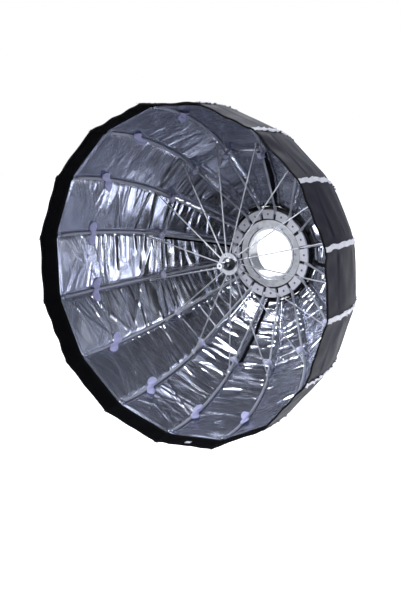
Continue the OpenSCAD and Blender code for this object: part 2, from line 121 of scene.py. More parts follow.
def placed(r: Array, t: Array, s: Array, angle: float) -> Array:
    """Turns points of a radial plane into the shared frame, in metres.

    Args:
        r: Radii.
        t: Distances across the plane.
        s: Distances in front of the seat.
        angle: The plane's angle round the axis.

    Returns:
        Points, with X, Y and Z last.
    """
    r, t, s = np.broadcast_arrays(r, t, s)
    c, n = math.cos(angle), math.sin(angle)
    return np.stack([r * c - t * n, -s, r * n + t * c], -1) * MM


def along(lean: float) -> Array:
    """Direction (r, s) of a line that leans from the axis."""
    return np.array([math.sin(lean), math.cos(lean)])


def inward(lean: float) -> Array:
    """Direction (r, s) square to that line, to the inside of the canopy."""
    return np.array([-math.cos(lean), math.sin(lean)])


def smooth(x: Array) -> Array:
    """Smooth step from 0 to 1."""
    x = np.clip(x, 0.0, 1.0)
    return x * x * (3 - 2 * x)


def unit(vectors: Array) -> Array:
    """Vectors at a length of 1."""
    return vectors / np.linalg.norm(vectors, axis=-1)[..., None]


def interpolated(at: Array, lengths: Array, values: Array) -> Array:
    """Pairs of values at given distances along a line."""
    return np.stack([np.interp(at, lengths, values[:, i]) for i in (0, 1)], -1)


def cloth_map(x: Array, y: Array) -> Array:
    """A sheet's own map, in metres, from distances in millimetres."""
    return np.stack(np.broadcast_arrays(x * MM, y * MM), -1)


@dataclass(frozen=True)
class RibLine:
    """Centre line of a rib's rod in its own plane."""

    pivot: tuple[float, float] = (104.0, 24.0)
    lean: float = math.radians(56.1)
    straight: float = 225.0
    bend: float = math.radians(18.4)
    bend_radius: float = 60.0
    bow: float = math.radians(34.1)
    bow_radius: float = 405.0

    def on_straight(self, distance: float, lift: float = 0.0) -> Array:
        """Point (r, s) at a distance from the hinge, lifted to the inside."""
        start = np.array(self.pivot) + distance * along(self.lean)
        return start + lift * inward(self.lean)

    def bow_lean(self, share: float) -> float:
        """Lean of the rod at a share of its bow."""
        return self.lean - self.bend - share * self.bow

    def on_bow(self, share: float, lift: float = 0.0) -> Array:
        """Point (r, s) at a share of the bow, lifted to the inside."""
        first = self.bow_lean(0)
        start = self.on_straight(self.straight) + self.bend_radius * (
            inward(self.lean) - inward(first)
        )
        here = self.bow_lean(share)
        arc = self.bow_radius * (inward(first) - inward(here))
        return start + arc + lift * inward(here)

    def folded_share(self, points: Array, fold: float) -> Array:
        """How near the axis points (r, s) come when the rib folds.

        Args:
            points: Points (r, s) at rest.
            fold: Angle that the rib turns through.

        Returns:
            Each point's folded radius as a share of its radius at rest.
        """
        v = points - np.array(self.pivot)
        r = self.pivot[0] + v[..., 0] * math.cos(fold) - v[..., 1] * math.sin(fold)
        return r / points[..., 0]


@dataclass
class ClothLine:
    """Outline of the lining in a rib's plane, from the ring to the rim."""

    rib: RibLine
    gap: float = 4.68
    ring_end: tuple[float, float] = (118.99, 12.0)
    tie_at: float = 188.0
    tie_drop: float = 20.0
    sag_at: float = 100.0
    sag_drop: float = 28.0
    pace: float = 0.5
    rounding: float = 4.5

    def __post_init__(self) -> None:
        """Lays the outline behind the rod."""
        rib = self.rib
        corners = [
            np.array(self.ring_end),
            rib.on_straight(self.sag_at, -self.sag_drop),
            self.tie_point,
            rib.on_straight(rib.straight, -self.gap),
        ]
        bend = [
            rib.on_straight(rib.straight, rib.bend_radius)
            - (rib.bend_radius + self.gap) * inward(rib.lean - f * rib.bend)
            for f in np.linspace(0.2, 1, 5)
        ]
        bow = [rib.on_bow(f, -self.gap) for f in np.linspace(0.02, 1, 50)]
        rough = np.array(corners + bend + bow)
        steps = np.arange(0, self._lengths(rough)[-1], self.pace)
        self.points = self._softened(interpolated(steps, self._lengths(rough), rough))
        self.lengths = self._lengths(self.points)
        self.length = float(self.lengths[-1])
        tangent = unit(np.gradient(self.points, self.lengths, axis=0))
        self.normals = np.stack([tangent[:, 1], -tangent[:, 0]], -1)

    @property
    def tie_point(self) -> Array:
        """Point (r, s) where the cloth is tied towards the rod."""
        return self.rib.on_straight(self.tie_at, -self.tie_drop)

    @staticmethod
    def _lengths(line: Array) -> Array:
        """Distance along a line to each of its points."""
        return np.r_[0, np.cumsum(np.linalg.norm(np.diff(line, axis=0), axis=1))]

    def _softened(self, line: Array) -> Array:
        """Rounds the corners of a line and leaves its ends where they are."""
        width = self.rounding / self.pace
        reach = int(width * 8 / 3)
        kernel = np.exp(-0.5 * (np.arange(-reach, reach + 1) / width) ** 2)
        kernel /= kernel.sum()
        head = 2 * line[0] - line[reach:0:-1]
        tail = 2 * line[-1] - line[-2 : -reach - 2 : -1]
        padded = np.concatenate([head, line, tail])
        return np.stack([np.convolve(padded[:, i], kernel, "valid") for i in (0, 1)], -1)

    def at(self, u: Array) -> tuple[Array, Array]:
        """Points (r, s) and outward normals at distances from the ring end."""
        n = interpolated(u, self.lengths, self.normals)
        return interpolated(u, self.lengths, self.points), unit(n)

    def distance_of(self, point: Array) -> float:
        """Distance along the outline of its point nearest to (r, s)."""
        return float(self.lengths[np.argmin(np.linalg.norm(self.points - point, axis=1))])


# ---- Wrinkles ----


class Skin(Enum):
    """The two skins of the canopy."""

    LINING = "canopy_lining"
    SHELL = "canopy_shell"


@dataclass(frozen=True)
class CreaseStyle:
    """How one skin wrinkles. Lengths are in millimetres."""

    count: int
    height: float
    width: tuple[float, float]
    reach: tuple[float, float]
    slant: float
    bulge: float
    belt: float
    swell: float
    seam_clear: float
    seam_ramp: float
    seed: int
    belt_width: float = 2.6
    end_ramp: float = 9.0
    root: float = 4.0
    pitch: tuple[float, float] = (48.0, 95.0)
    # From this share of the length on, creases slant and are lower
    outer_from: float = 0.72
    outer_ramp: float = 0.22
    outer_lower: float = 0.45
    top_lower: float = 0.6


STYLES: dict[Skin, CreaseStyle] = {
    Skin.LINING: CreaseStyle(
        count=54, height=3.4, width=(2.4, 4.6), reach=(0.45, 1.3), slant=0.6, bulge=2.2,
        belt=3.2, swell=0.8, seam_clear=2.4, seam_ramp=7.0, seed=11,
    ),
    Skin.SHELL: CreaseStyle(
        count=16, height=1.9, width=(5.0, 12.0), reach=(0.3, 0.8), slant=0.3, bulge=1.0,
        belt=0.0, swell=1.0, seam_clear=8.5, seam_ramp=18.0, seed=23,
    ),
}


class CreaseField:
    """Depth of the wrinkles anywhere on the sixteen gores of one skin."""

    def __init__(self, style: CreaseStyle, line: ClothLine) -> None:
        """Draws every gore's creases.

        Args:
            style: The wrinkles' sizes.
            line: The outline that the gores follow.
        """
        self.style, self.line = style, line
        self.belt_at = line.distance_of(line.tie_point)
        rng = np.random.default_rng(style.seed)
        shape = (RIBS, style.count)
        # Cloth hangs from the higher of a gore's two seams, so most creases start there
        middle = np.array([rib_angle(gore + 1) + HALF for gore in range(RIBS)])[:, None]
        self.side = rng.random(shape) < 0.5 + 0.3 * np.cos(middle)
        order = (np.arange(style.count) + rng.uniform(0, 1, shape)) / style.count
        self.start = (0.01 + 0.98 * order) * line.length
        outer = smooth((self.start / line.length - style.outer_from) / style.outer_ramp)
        way = rng.choice([-1, 1], shape, p=[0.85, 0.15])
        self.slant = rng.normal(0, 0.12, shape) + style.slant * outer * way
        self.bend = rng.normal(0, 0.1, shape)
        self.width = rng.uniform(*style.width, shape)
        self.reach = rng.uniform(*style.reach, shape)
        up = rng.choice([-0.8, 1], shape, p=[0.4, 0.6])
        size = style.height * rng.uniform(0.3, 1.0, shape)
        self.height = size * up * (1 - style.outer_lower * outer)
        # The upper gores hang smooth, and the lower ones sag into folds
        calm = 1 - style.top_lower * np.clip(np.sin(middle[:, 0]), 0, 1)
        self.strength = rng.uniform(0.75, 1.2, RIBS) * calm
        self.phase = rng.uniform(0, 2 * math.pi, (RIBS, 6))
        self.pitch = rng.uniform(*style.pitch, (RIBS, 3))

    def depth(self, gore: int, u: Array, share: Array, width: Array) -> Array:
        """Depth of the cloth from its plain surface, never under nought.

        Args:
            gore: Number of the gore, 0 to 15.
            u: Distances from the ring end.
            share: Shares of the way across the gore.
            width: The gore's width there.

        Returns:
            Depths, which fall to nought at the seams and both ends.
        """
        u, share, width = np.broadcast_arrays(u, share, width)
        style = self.style
        left, right = share * width, (1 - share) * width
        total = np.zeros(u.shape)
        for i in range(style.count):
            x = right if self.side[gore, i] else left
            reach = self.reach[gore, i] * width
            middle = (
                self.start[gore, i]
                + self.slant[gore, i] * x
                + self.bend[gore, i] * x * x / width
            )
            spread = self.width[gore, i] * (0.6 + 1.2 * x / width)
            ridge = np.exp(-((np.abs(u - middle) / spread) ** 1.6))
            fade = np.clip(1 - x / reach, 0, 1) ** 0.6
            rooted = 1 - np.exp(-((x / style.root) ** 2))
            total += self.height[gore, i] * ridge * fade * rooted
        phase = self.phase[gore]
        for i, pitch in enumerate(self.pitch[gore]):
            total += style.swell * (
                np.sin(2 * math.pi * (u + 0.25 * left * (i - 1)) / pitch + phase[i])
                * np.sin(math.pi * (share * (i + 1) + 0.15 * math.sin(phase[i + 3])))
                / (i + 1)
            )
        belt = np.exp(-((np.abs(u - self.belt_at) / style.belt_width) ** 1.6))
        total = style.bulge + style.belt * belt + total * self.strength[gore]
        # Rounded off above nought, so that the cloth never goes through its plain surface
        total = 0.5 * (total + np.sqrt(total**2 + 0.25)) + 0.1
        nearest = np.minimum(left, right)
        ends = np.minimum(u, self.line.length - u)
        seams = smooth((nearest - style.seam_clear) / style.seam_ramp)
        return total * seams * smooth(ends / style.end_ramp)


# ---- Meshes ----


@dataclass
class Block:
    """A grid of a sheet: rows run outwards from the ring, columns round it."""

    inner: Array
    outer: Array
    uv: Array
    normal: Array | None = None


def make_object(name: str, mesh: Mesh, finish: Paint) -> Piece:
    """Links a mesh to the scene as an object at the origin.

    Args:
        name: Name of the piece.
        mesh: Its mesh, in the shared frame.
        finish: Its material.

    Returns:
        The new object.
    """
    mesh.name = name
    mesh.materials.clear()
    mesh.materials.append(finish)
    piece = bpy.data.objects.new(name, mesh)
    bpy.context.scene.collection.objects.link(piece)
    return piece


def grid_faces(index: Array, flip: bool) -> Array:
    """Quads over a grid of vertex numbers."""
    a, b, c, d = index[:-1, :-1], index[1:, :-1], index[1:, 1:], index[:-1, 1:]
    quads = np.stack([a, b, c, d], -1).reshape(-1, 4)
    return quads[:, ::-1] if flip else quads


def corners(values: Array, flip: bool) -> Array:
    """Values of a grid at each corner of its quads, in the quads' order."""
    a, b, c, d = values[:-1, :-1], values[1:, :-1], values[1:, 1:], values[:-1, 1:]
    quads = np.stack([a, b, c, d], -2).reshape(-1, 4, values.shape[-1])
    return quads[:, ::-1] if flip else quads


def joined(grids: Sequence[Array]) -> Array:
    """Grids side by side, without the columns that they share."""
    return np.concatenate([g[:, (1 if i else 0) :] for i, g in enumerate(grids)], axis=1)


def sheet_mesh(name: str, blocks: Sequence[Block], paths: Sequence[Array] = ()) -> Mesh:
    """Closed sheet with a thickness, from blocks that lie side by side.

    Args:
        name: Name of the mesh.
        blocks: The blocks, each of which starts where the last one ends.
        paths: Lines that are added as loose edges, for stitches.

    Returns:
        The mesh, smooth on its faces and sharp at its edges.
    """
    inner = joined([b.inner for b in blocks])
    outer = joined([b.outer for b in blocks])
    rows, cols = inner.shape[:2]
    lower = np.arange(rows * cols).reshape(rows, cols)
    upper = lower + rows * cols
    points = np.concatenate([inner.reshape(-1, 3), outer.reshape(-1, 3)])
    faces, uvs, normals = [], [], []
    first = 0
    for b in blocks:
        last = first + b.inner.shape[1] - 1
        for index, flip, sign in ((lower, False, -1), (upper, True, 1)):
            faces.append(grid_faces(index[:, first : last + 1], flip))
            uvs.append(corners(b.uv, flip))
            if b.normal is not None:
                normals.append(corners(sign * b.normal, flip))
        first = last
    uv = joined([b.uv for b in blocks])
    for low, up, edge_uv in (
        (lower[0], upper[0], uv[0]),
        (lower[-1, ::-1], upper[-1, ::-1], uv[-1, ::-1]),
        (lower[::-1, 0], upper[::-1, 0], uv[::-1, 0]),
        (lower[:, -1], upper[:, -1], uv[:, -1]),
    ):
        wall = np.stack([low[:-1], low[1:], up[1:], up[:-1]], -1)
        faces.append(wall)
        uvs.append(np.stack([edge_uv[:-1], edge_uv[1:], edge_uv[1:], edge_uv[:-1]], 1))
        if blocks[0].normal is not None:
            p = points[wall]
            n = np.cross(p[:, 1] - p[:, 0], p[:, 3] - p[:, 0])
            n /= np.maximum(np.linalg.norm(n, axis=1), 1e-12)[:, None]
            normals.append(np.repeat(n[:, None], 4, axis=1))
    quads = np.concatenate(faces)
    mesh = bpy.data.meshes.new(name)
    edges, count = [], len(points)
    for path in paths:
        edges += [(count + i, count + i + 1) for i in range(len(path) - 1)]
        count += len(path)
    mesh.from_pydata(np.concatenate([points, *paths]).tolist(), edges, quads.tolist())
    mesh.polygons.foreach_set("use_smooth", np.ones(len(quads), bool))
    layer = mesh.uv_layers.new(name="UVMap")
    layer.data.foreach_set("uv", np.concatenate(uvs).astype(np.float32).ravel())
    if normals:
        mesh.normals_split_custom_set(np.concatenate(normals).reshape(-1, 3).tolist())
    else:
        walls = set()
        for edge in (lower[0], lower[-1], lower[:, 0], lower[:, -1]):
            for shift in (0, rows * cols):
                walls |= {tuple(sorted(p)) for p in zip(edge[:-1] + shift, edge[1:] + shift)}
        keys = np.zeros(len(mesh.edges) * 2, np.int32)
        mesh.edges.foreach_get("vertices", keys)
        sharp = [tuple(sorted(k)) in walls for k in keys.reshape(-1, 2).tolist()]
        attribute = mesh.attributes.new("sharp_edge", "BOOLEAN", "EDGE")
        attribute.data.foreach_set("value", sharp)
    return mesh


def tube_rings(path: Array, across: Array, radii: Array | float, sides: int) -> Array:
    """Rings of points round a path.

    Args:
        path: Points of the path.
        across: A direction that is never along the path.
        radii: Radius, or the radius at each point.
        sides: Number of points in a ring.

    Returns:
        Points, by ring and side.
    """
    tangent = unit(np.gradient(path, axis=0))
    return ring_points(path, tangent, unit(np.cross(tangent, across)), radii, sides)


def closed_rings(path: Array, across: Array, radius: float, sides: int) -> Array:
    """Rings of points round a path that runs into its own start.

    Args:
        path: Points of the path, in order round it.
        across: A direction that is never along the path.
        radius: Radius of the rings.
        sides: Number of points in a ring.

    Returns:
        Points, by ring and side.
    """
    tangent = unit(np.roll(path, -1, axis=0) - np.roll(path, 1, axis=0))
    u = unit(across - (tangent @ across)[:, None] * tangent)
    return ring_points(path, tangent, u, radius, sides)


def turns(count: int) -> Array:
    """Angles that share a full turn evenly."""
    return np.linspace(0, 2 * math.pi, count, endpoint=False)


def ring_points(
    path: Array, tangent: Array, u: Array, radii: Array | float, sides: int
) -> Array:
    """Rings square to a path.

    Args:
        path: Points of the path.
        tangent: Direction of the path at each point.
        u: Direction of each ring's first point.
        radii: Radius, or the radius at each point.
        sides: Number of points in a ring.

    Returns:
        Points, by ring and side.
    """
    v = np.cross(tangent, u)
    a = turns(sides)[None, :, None]
    radii = np.broadcast_to(np.asarray(radii, float), len(path))[:, None, None]
    return path[:, None] + radii * (np.cos(a) * u[:, None] + np.sin(a) * v[:, None])


class Lump:
    """Gathers closed shapes into the mesh of one piece."""

    def __init__(self) -> None:
        """Starts with nothing."""
        self.points: list[Array] = []
        self.faces: list[list[int]] = []
        self.count = 0

    def add_tube(self, rings: Array, loop: bool = False) -> None:
        """Adds a closed tube.

        Args:
            rings: Points, by ring and side.
            loop: Whether it runs into its own start, and so needs no ends.
        """
        n, sides = rings.shape[:2]
        index = self.count + np.arange(n * sides).reshape(n, sides)
        self.points.append(rings.reshape(-1, 3))
        self.count += n * sides
        for here, there in zip(index, np.roll(index, -1, axis=0)[: n if loop else n - 1]):
            quads = (here, np.roll(here, -1), np.roll(there, -1), there)
            self.faces += np.stack(quads, -1).tolist()
        if not loop:
            self.faces += [index[0, ::-1].tolist(), index[-1].tolist()]

    def mesh(self, name: str) -> Mesh:
        """Makes the mesh, with every face outwards."""
        mesh = bpy.data.meshes.new(name)
        mesh.from_pydata(np.concatenate(self.points).tolist(), [], self.faces)
        work = bmesh.new()
        work.from_mesh(mesh)
        bmesh.ops.recalc_face_normals(work, faces=work.faces)
        work.to_mesh(mesh)
        work.free()
        mesh.polygons.foreach_set("use_smooth", np.ones(len(mesh.polygons), bool))
        return mesh


# ---- Node trees ----


def linear(code: str) -> tuple[float, float, float, float]:
    """Linear colour of an sRGB hex code."""
    parts = [int(code[i : i + 2], 16) / 255 for i in (1, 3, 5)]
    bright = [c / 12.92 if c <= 0.04045 else ((c + 0.055) / 1.055) ** 2.4 for c in parts]
    return (*bright, 1.0)


def add(tree: Tree, kind: str, inputs: dict | None = None, **settings: object) -> Node:
    """Adds a node, with its settings and links.

    Args:
        tree: The tree.
        kind: The node's type.
        inputs: Values, sockets, or nodes whose first output is meant, by the input's
            name or number.
        **settings: The node's own settings.

    Returns:
        The node.
    """
    node = tree.nodes.new(kind)
    for name, value in settings.items():
        setattr(node, name, value)
    for key, value in (inputs or {}).items():
        if isinstance(value, Node):
            value = value.outputs[0]
        if isinstance(value, Socket):
            tree.links.new(value, node.inputs[key])
        else:
            node.inputs[key].default_value = value
    return node


class GrowTree:
    """A Geometry Nodes tree that adds small repeated parts to a piece."""

    def __init__(self, name: str, **sizes: float) -> None:
        """Starts a tree with named inputs.

        Args:
            name: The tree's name.
            **sizes: Each size in millimetres.
        """
        self.tree = bpy.data.node_groups.new(name, "GeometryNodeTree")
        face = self.tree.interface
        face.new_socket("Geometry", in_out="INPUT", socket_type="NodeSocketGeometry")
        self.sizes = {size: value * MM for size, value in sizes.items()}
        self.ids = {}
        for size in sizes:
            socket = face.new_socket(size, in_out="INPUT", socket_type="NodeSocketFloat")
            self.ids[size] = socket.identifier
        material = face.new_socket("Finish", in_out="INPUT", socket_type="NodeSocketMaterial")
        self.ids["Finish"] = material.identifier
        face.new_socket("Geometry", in_out="OUTPUT", socket_type="NodeSocketGeometry")
        self.start = self.tree.nodes.new("NodeGroupInput").outputs

    def end(self, geometry: Node) -> None:
        """Closes the tree, with its instances made real and its finish set."""
        real = add(self.tree, "GeometryNodeRealizeInstances", {0: geometry})
        inputs = {0: real, "Material": self.start["Finish"]}
        done = add(self.tree, "GeometryNodeSetMaterial", inputs)
        add(self.tree, "NodeGroupOutput", {0: done})

    def grow(self, piece: Piece, finish: Paint) -> None:
        """Runs the tree on a piece and keeps the result as a plain mesh.

        Args:
            piece: The piece, whose mesh is the tree's start.
            finish: The material of what comes out.
        """
        modifier = piece.modifiers.new("Grow", "NODES")
        modifier.node_group = self.tree
        for size, value in self.sizes.items():
            modifier[self.ids[size]] = value
        modifier[self.ids["Finish"]] = finish
        seen = piece.evaluated_get(bpy.context.evaluated_depsgraph_get())
        mesh = bpy.data.meshes.new_from_object(seen)
        piece.modifiers.clear()
        old, piece.data = piece.data, mesh
        mesh.name = piece.name
        bpy.data.meshes.remove(old)


def stitch_tree(name: str, pitch: float, length: float, radius: float) -> GrowTree:
    """Tree that sews stitches along a piece's loose edges and keeps its faces.

    Args:
        name: The tree's name.
        pitch: Distance from stitch to stitch.
        length: Length of a stitch.
        radius: Radius of the thread.

    Returns:
        The tree.
    """
    grow = GrowTree(name, Pitch=pitch, Length=length, Thread=radius)
    tree, start = grow.tree, grow.start
    path = add(tree, "GeometryNodeInputMeshEdgeNeighbors")
    loose = add(
        tree, "FunctionNodeCompare", {2: path, 3: 0},
        data_type="INT", operation="EQUAL",
    )
    parts = add(
        tree, "GeometryNodeSeparateGeometry", {0: start["Geometry"], 1: loose},
        domain="EDGE",
    )
    curve = add(tree, "GeometryNodeMeshToCurve", {0: parts})
    points = add(
        tree, "GeometryNodeCurveToPoints", {0: curve, "Length": start["Pitch"]},
        mode="LENGTH",
    )
    turn = add(
        tree, "FunctionNodeAlignRotationToVector", {"Vector": points.outputs["Tangent"]},
        axis="Z",
    )
    stitch = add(
        tree, "GeometryNodeMeshCylinder",
        {"Vertices": 6, "Radius": start["Thread"], "Depth": start["Length"]},
    )
    sewn = add(
        tree, "GeometryNodeInstanceOnPoints",
        {0: points, "Instance": stitch, "Rotation": turn},
    )
    both = add(tree, "GeometryNodeJoinGeometry")
    tree.links.new(parts.outputs[1], both.inputs[0])
    tree.links.new(sewn.outputs[0], both.inputs[0])
    grow.end(both)
    return grow


def hook_tree(pitch: float, height: float, radius: float) -> GrowTree:
    """Tree that sets small hooks all over the inner face of a band.

    Args:
        pitch: Distance from hook to hook.
        height: Height of a hook.
        radius: Radius of its root.

    Returns:
        The tree.
    """
    grow = GrowTree("hooks", Pitch=pitch, Height=height, Radius=radius)
    tree, start = grow.tree, grow.start
    normal = add(tree, "GeometryNodeInputNormal")
    place = add(tree, "GeometryNodeInputPosition")
    radial = add(
        tree, "ShaderNodeVectorMath", {0: place, 1: (-1.0, 0.0, -1.0)},
        operation="MULTIPLY",
    )
    to_axis = add(tree, "ShaderNodeVectorMath", {0: radial}, operation="NORMALIZE")
    faces_in = add(
        tree, "ShaderNodeVectorMath", {0: normal, 1: to_axis},
        operation="DOT_PRODUCT",
    )
    inside = add(
        tree, "FunctionNodeCompare", {0: faces_in.outputs["Value"], 1: 0.7},
        data_type="FLOAT", operation="GREATER_THAN",
    )
    area = add(
        tree, "ShaderNodeMath", {0: start["Pitch"], 1: start["Pitch"]}, operation="MULTIPLY"
    )
    density = add(tree, "ShaderNodeMath", {0: 1.0, 1: area}, operation="DIVIDE")
    spots = add(
        tree, "GeometryNodeDistributePointsOnFaces",
        {0: start["Geometry"], "Selection": inside,
         "Density": density, "Seed": 7},
    )
    peg = add(
        tree, "GeometryNodeMeshCone",
        {"Vertices": 4, "Radius Top": 0.1 * MM, "Radius Bottom": start["Radius"],
         "Depth": start["Height"]},
    )
    pegs = add(
        tree, "GeometryNodeInstanceOnPoints",
        {0: spots, "Instance": peg,
         "Rotation": spots.outputs["Rotation"]},
    )
    both = add(tree, "GeometryNodeJoinGeometry")
    tree.links.new(start["Geometry"], both.inputs[0])
    tree.links.new(pegs.outputs[0], both.inputs[0])
    grow.end(both)
    return grow


def sleeve_tree(radius: float, gather: float, spacing: float) -> GrowTree:
    """Tree that wraps a gathered cloth sleeve round a path.

    Args:
        radius: Radius of the sleeve.
        gather: Height of its gathers.
        spacing: Distance between rings of the mesh.

    Returns:
        The tree.
    """
    grow = GrowTree("sleeve", Radius=radius, Gather=gather, Spacing=spacing)
    tree, start = grow.tree, grow.start
    curve = add(tree, "GeometryNodeMeshToCurve", {0: start["Geometry"]})
    even = add(
        tree, "GeometryNodeResampleCurve", {0: curve, "Length": start["Spacing"]},
        mode="LENGTH",
    )
    ring = add(
        tree, "GeometryNodeCurvePrimitiveCircle",
        {"Resolution": 14, "Radius": start["Radius"]},
    )
    tube = add(
        tree, "GeometryNodeCurveToMesh",
        {"Curve": even, "Profile Curve": ring, "Fill Caps": True},
    )
    place = add(tree, "GeometryNodeInputPosition")
    ripple = add(
        tree, "ShaderNodeTexNoise",
        {"Vector": place, "Scale": GATHERS_PER_METRE, "Detail": 1.0},
    )
    level = add(tree, "ShaderNodeMath", {0: ripple, 1: 0.6}, operation="SUBTRACT")
    height = add(
        tree, "ShaderNodeMath", {0: level, 1: start["Gather"]},
        operation="MULTIPLY",
    )
    normal = add(tree, "GeometryNodeInputNormal")
    lift = add(
        tree, "ShaderNodeVectorMath", {0: normal, "Scale": height},
        operation="SCALE",
    )
    moved = add(tree, "GeometryNodeSetPosition", {0: tube, "Offset": lift})
    soft = add(tree, "GeometryNodeSetShadeSmooth", {0: moved})
    grow.end(soft)
    return grow


# ---- Finishes ----


Pattern = tuple[Node | Socket, Node | Socket | None]


@dataclass(frozen=True)
class Finish:
    """A finish named by the record's material slot that it paints.

    The second colour and the end of `uneven` are where its cloud is thick. The
    depth is that of its relief in millimetres.
    """

    slot: str
    colour: str
    roughness: float = 0.5
    metallic: float = 0.0
    other: str = "#808080"
    uneven: tuple[float, float] = (-0.05, 0.05)
    depth: float = 0.0
    sheen: float = 0.0
    shine: float = 0.5
    grid: str = "Object"

    def material(self) -> Paint:
        """Makes the Blender material.

        Returns:
            The material, with its pattern's nodes in place.
        """
        made = bpy.data.materials.new(self.slot)
        made.use_nodes = True
        made.diffuse_color = linear(self.colour)
        tree = made.node_tree
        shader = tree.nodes["Principled BSDF"]
        for name, value in (
            ("Base Color", linear(self.colour)), ("Metallic", self.metallic),
            ("Roughness", self.roughness), ("Sheen Weight", self.sheen),
            ("Specular IOR Level", self.shine),
        ):
            shader.inputs[name].default_value = value
        place = add(tree, "ShaderNodeTexCoord").outputs[self.grid]
        cloud, relief = self.pattern(tree, place)
        colours = {0: cloud, 6: linear(self.colour), 7: linear(self.other)}
        mix = add(tree, "ShaderNodeMix", colours, data_type="RGBA")
        tree.links.new(mix.outputs[2], shader.inputs["Base Color"])
        low, high = (self.roughness + change for change in self.uneven)
        gloss = add(tree, "ShaderNodeMapRange", {0: cloud, 3: low, 4: high})
        tree.links.new(gloss.outputs[0], shader.inputs["Roughness"])
        if relief is not None:
            size = {"Height": relief, "Distance": self.depth * MM, "Strength": 1.0}
            raised = add(tree, "ShaderNodeBump", size)
            tree.links.new(raised.outputs[0], shader.inputs["Normal"])
        return made

    def pattern(self, tree: Tree, place: Socket) -> Pattern:
        """Adds the nodes of what makes the surface more than one flat colour.

        Args:
            tree: The material's tree.
            place: Where on the piece a point is.

        Returns:
            The cloud of colour and gloss, and the relief, each from 0 to 1.
        """
        raise NotImplementedError


@dataclass(frozen=True)
class TurnedMetal(Finish):
    """Turned aluminium, whose fine rings round the axis stretch highlights."""

    other: str = "#8f9196"
    uneven: tuple[float, float] = (-0.06, 0.1)
    line: float = 0.7  # finer lines would not show
    depth: float = 0.012
    metallic: float = 1.0

    def pattern(self, tree: Tree, place: Socket) -> Pattern:
        """Light handling marks, and rings at every radius."""
        flat = add(
            tree, "ShaderNodeVectorMath", {0: place, 1: (1.0, 0.0, 1.0)}, operation="MULTIPLY"
        )
        radius = add(tree, "ShaderNodeVectorMath", {0: flat}, operation="LENGTH")
        rings = add(
            tree, "ShaderNodeTexNoise",
            {"W": radius.outputs["Value"], "Scale": 1 / (self.line * MM), "Detail": 3.0},
            noise_dimensions="1D",
        )
        marks = add(tree, "ShaderNodeTexNoise", {"Vector": place, "Scale": 90.0, "Detail": 4.0})
        return marks, rings


@dataclass(frozen=True)
class DrawnMetal(Finish):
    """Drawn or plated steel: smooth, with faint cloudy scuffs."""

    other: str = "#85878c"
    uneven: tuple[float, float] = (-0.05, 0.12)
    grain: float = 2.5  # real scratches are finer, and would not show
    depth: float = 0.01
    metallic: float = 1.0

    def pattern(self, tree: Tree, place: Socket) -> Pattern:
        """Cloudy scuffs and a fine grain."""
        scale = 1 / (self.grain * MM)
        scuffs, grain = (
            add(tree, "ShaderNodeTexNoise", {"Vector": place, "Scale": size, "Detail": detail})
            for size, detail in ((scale / 8, 3.0), (scale, 5.0))
        )
        return scuffs, grain


@dataclass(frozen=True)
class CoatedMetal(Finish):
    """Powder coat or moulded plastic: an even fine texture that softens light."""

    other: str = "#303136"
    uneven: tuple[float, float] = (-0.08, 0.08)
    grit: float = 0.8  # the real grit is finer, and would not show
    depth: float = 0.03

    def pattern(self, tree: Tree, place: Socket) -> Pattern:
        """A little unevenness of colour, and fine grit."""
        scale = 1 / (self.grit * MM)
        grit = add(tree, "ShaderNodeTexVoronoi", {"Vector": place, "Scale": scale})
        cloud = add(tree, "ShaderNodeTexNoise", {"Vector": place, "Scale": 45.0, "Detail": 4.0})
        return cloud, grit.outputs["Distance"]


@dataclass(frozen=True)
class WovenCloth(Finish):
    """Plain weave that reads the cloth's own map, in metres."""

    other: str = "#22242e"
    uneven: tuple[float, float] = (-0.07, 0.07)
    thread: float = 1.3  # drawn coarser than the real thread, so that it shows
    depth: float = 0.06
    shine: float = 0.3
    patch: float = 60.0
    grid: str = "UV"

    def pattern(self, tree: Tree, place: Socket) -> Pattern:
        """Uneven dye and crossing threads."""
        threads = {
            "Vector": place, "Scale": BAND_PERIOD / (self.thread * MM), "Distortion": 0.6,
            "Detail": 1.0, "Detail Scale": 2.0,
        }
        warp, weft = (
            add(tree, "ShaderNodeTexWave", threads, bands_direction=way).outputs[1]
            for way in ("X", "Y")
        )
        weave = add(tree, "ShaderNodeMath", {0: warp, 1: weft}, operation="MULTIPLY")
        dye = {"Vector": place, "Scale": 1 / (self.patch * MM), "Detail": 5.0}
        cloud = add(tree, "ShaderNodeTexNoise", dye)
        worn = add(tree, "ShaderNodeMapRange", {0: cloud, 1: 0.3, 2: 0.7})
        return worn, weave


@dataclass(frozen=True)
class MetallisedCloth(Finish):
    """Silver-faced reflective cloth: a metal film, crinkled by folding."""

    other: str = "#6d747e"
    uneven: tuple[float, float] = (-0.05, 0.12)
    crinkle: float = 9.0
    depth: float = 0.22
    metallic: float = 0.92
    grid: str = "UV"

    def pattern(self, tree: Tree, place: Socket) -> Pattern:
        """A soft unevenness, and sharp little crinkles."""
        # Creases in the film run mostly across a gore, square to its seams
        drawn = add(
            tree, "ShaderNodeVectorMath", {0: place, 1: (0.3, 1.0, 1.0)}, operation="MULTIPLY"
        )
        crinkle = add(
            tree, "ShaderNodeTexNoise",
            {"Vector": drawn, "Scale": 1 / (self.crinkle * MM), "Detail": 5.0,
             "Roughness": 0.55, "Distortion": 0.4},
        )
        ridge = add(tree, "ShaderNodeMath", {0: crinkle, 1: 0.5}, operation="SUBTRACT")
        fold = add(tree, "ShaderNodeMath", {0: ridge}, operation="ABSOLUTE")
        cloud = add(tree, "ShaderNodeTexNoise", {"Vector": place, "Scale": 14.0, "Detail": 4.0})
        return cloud, fold


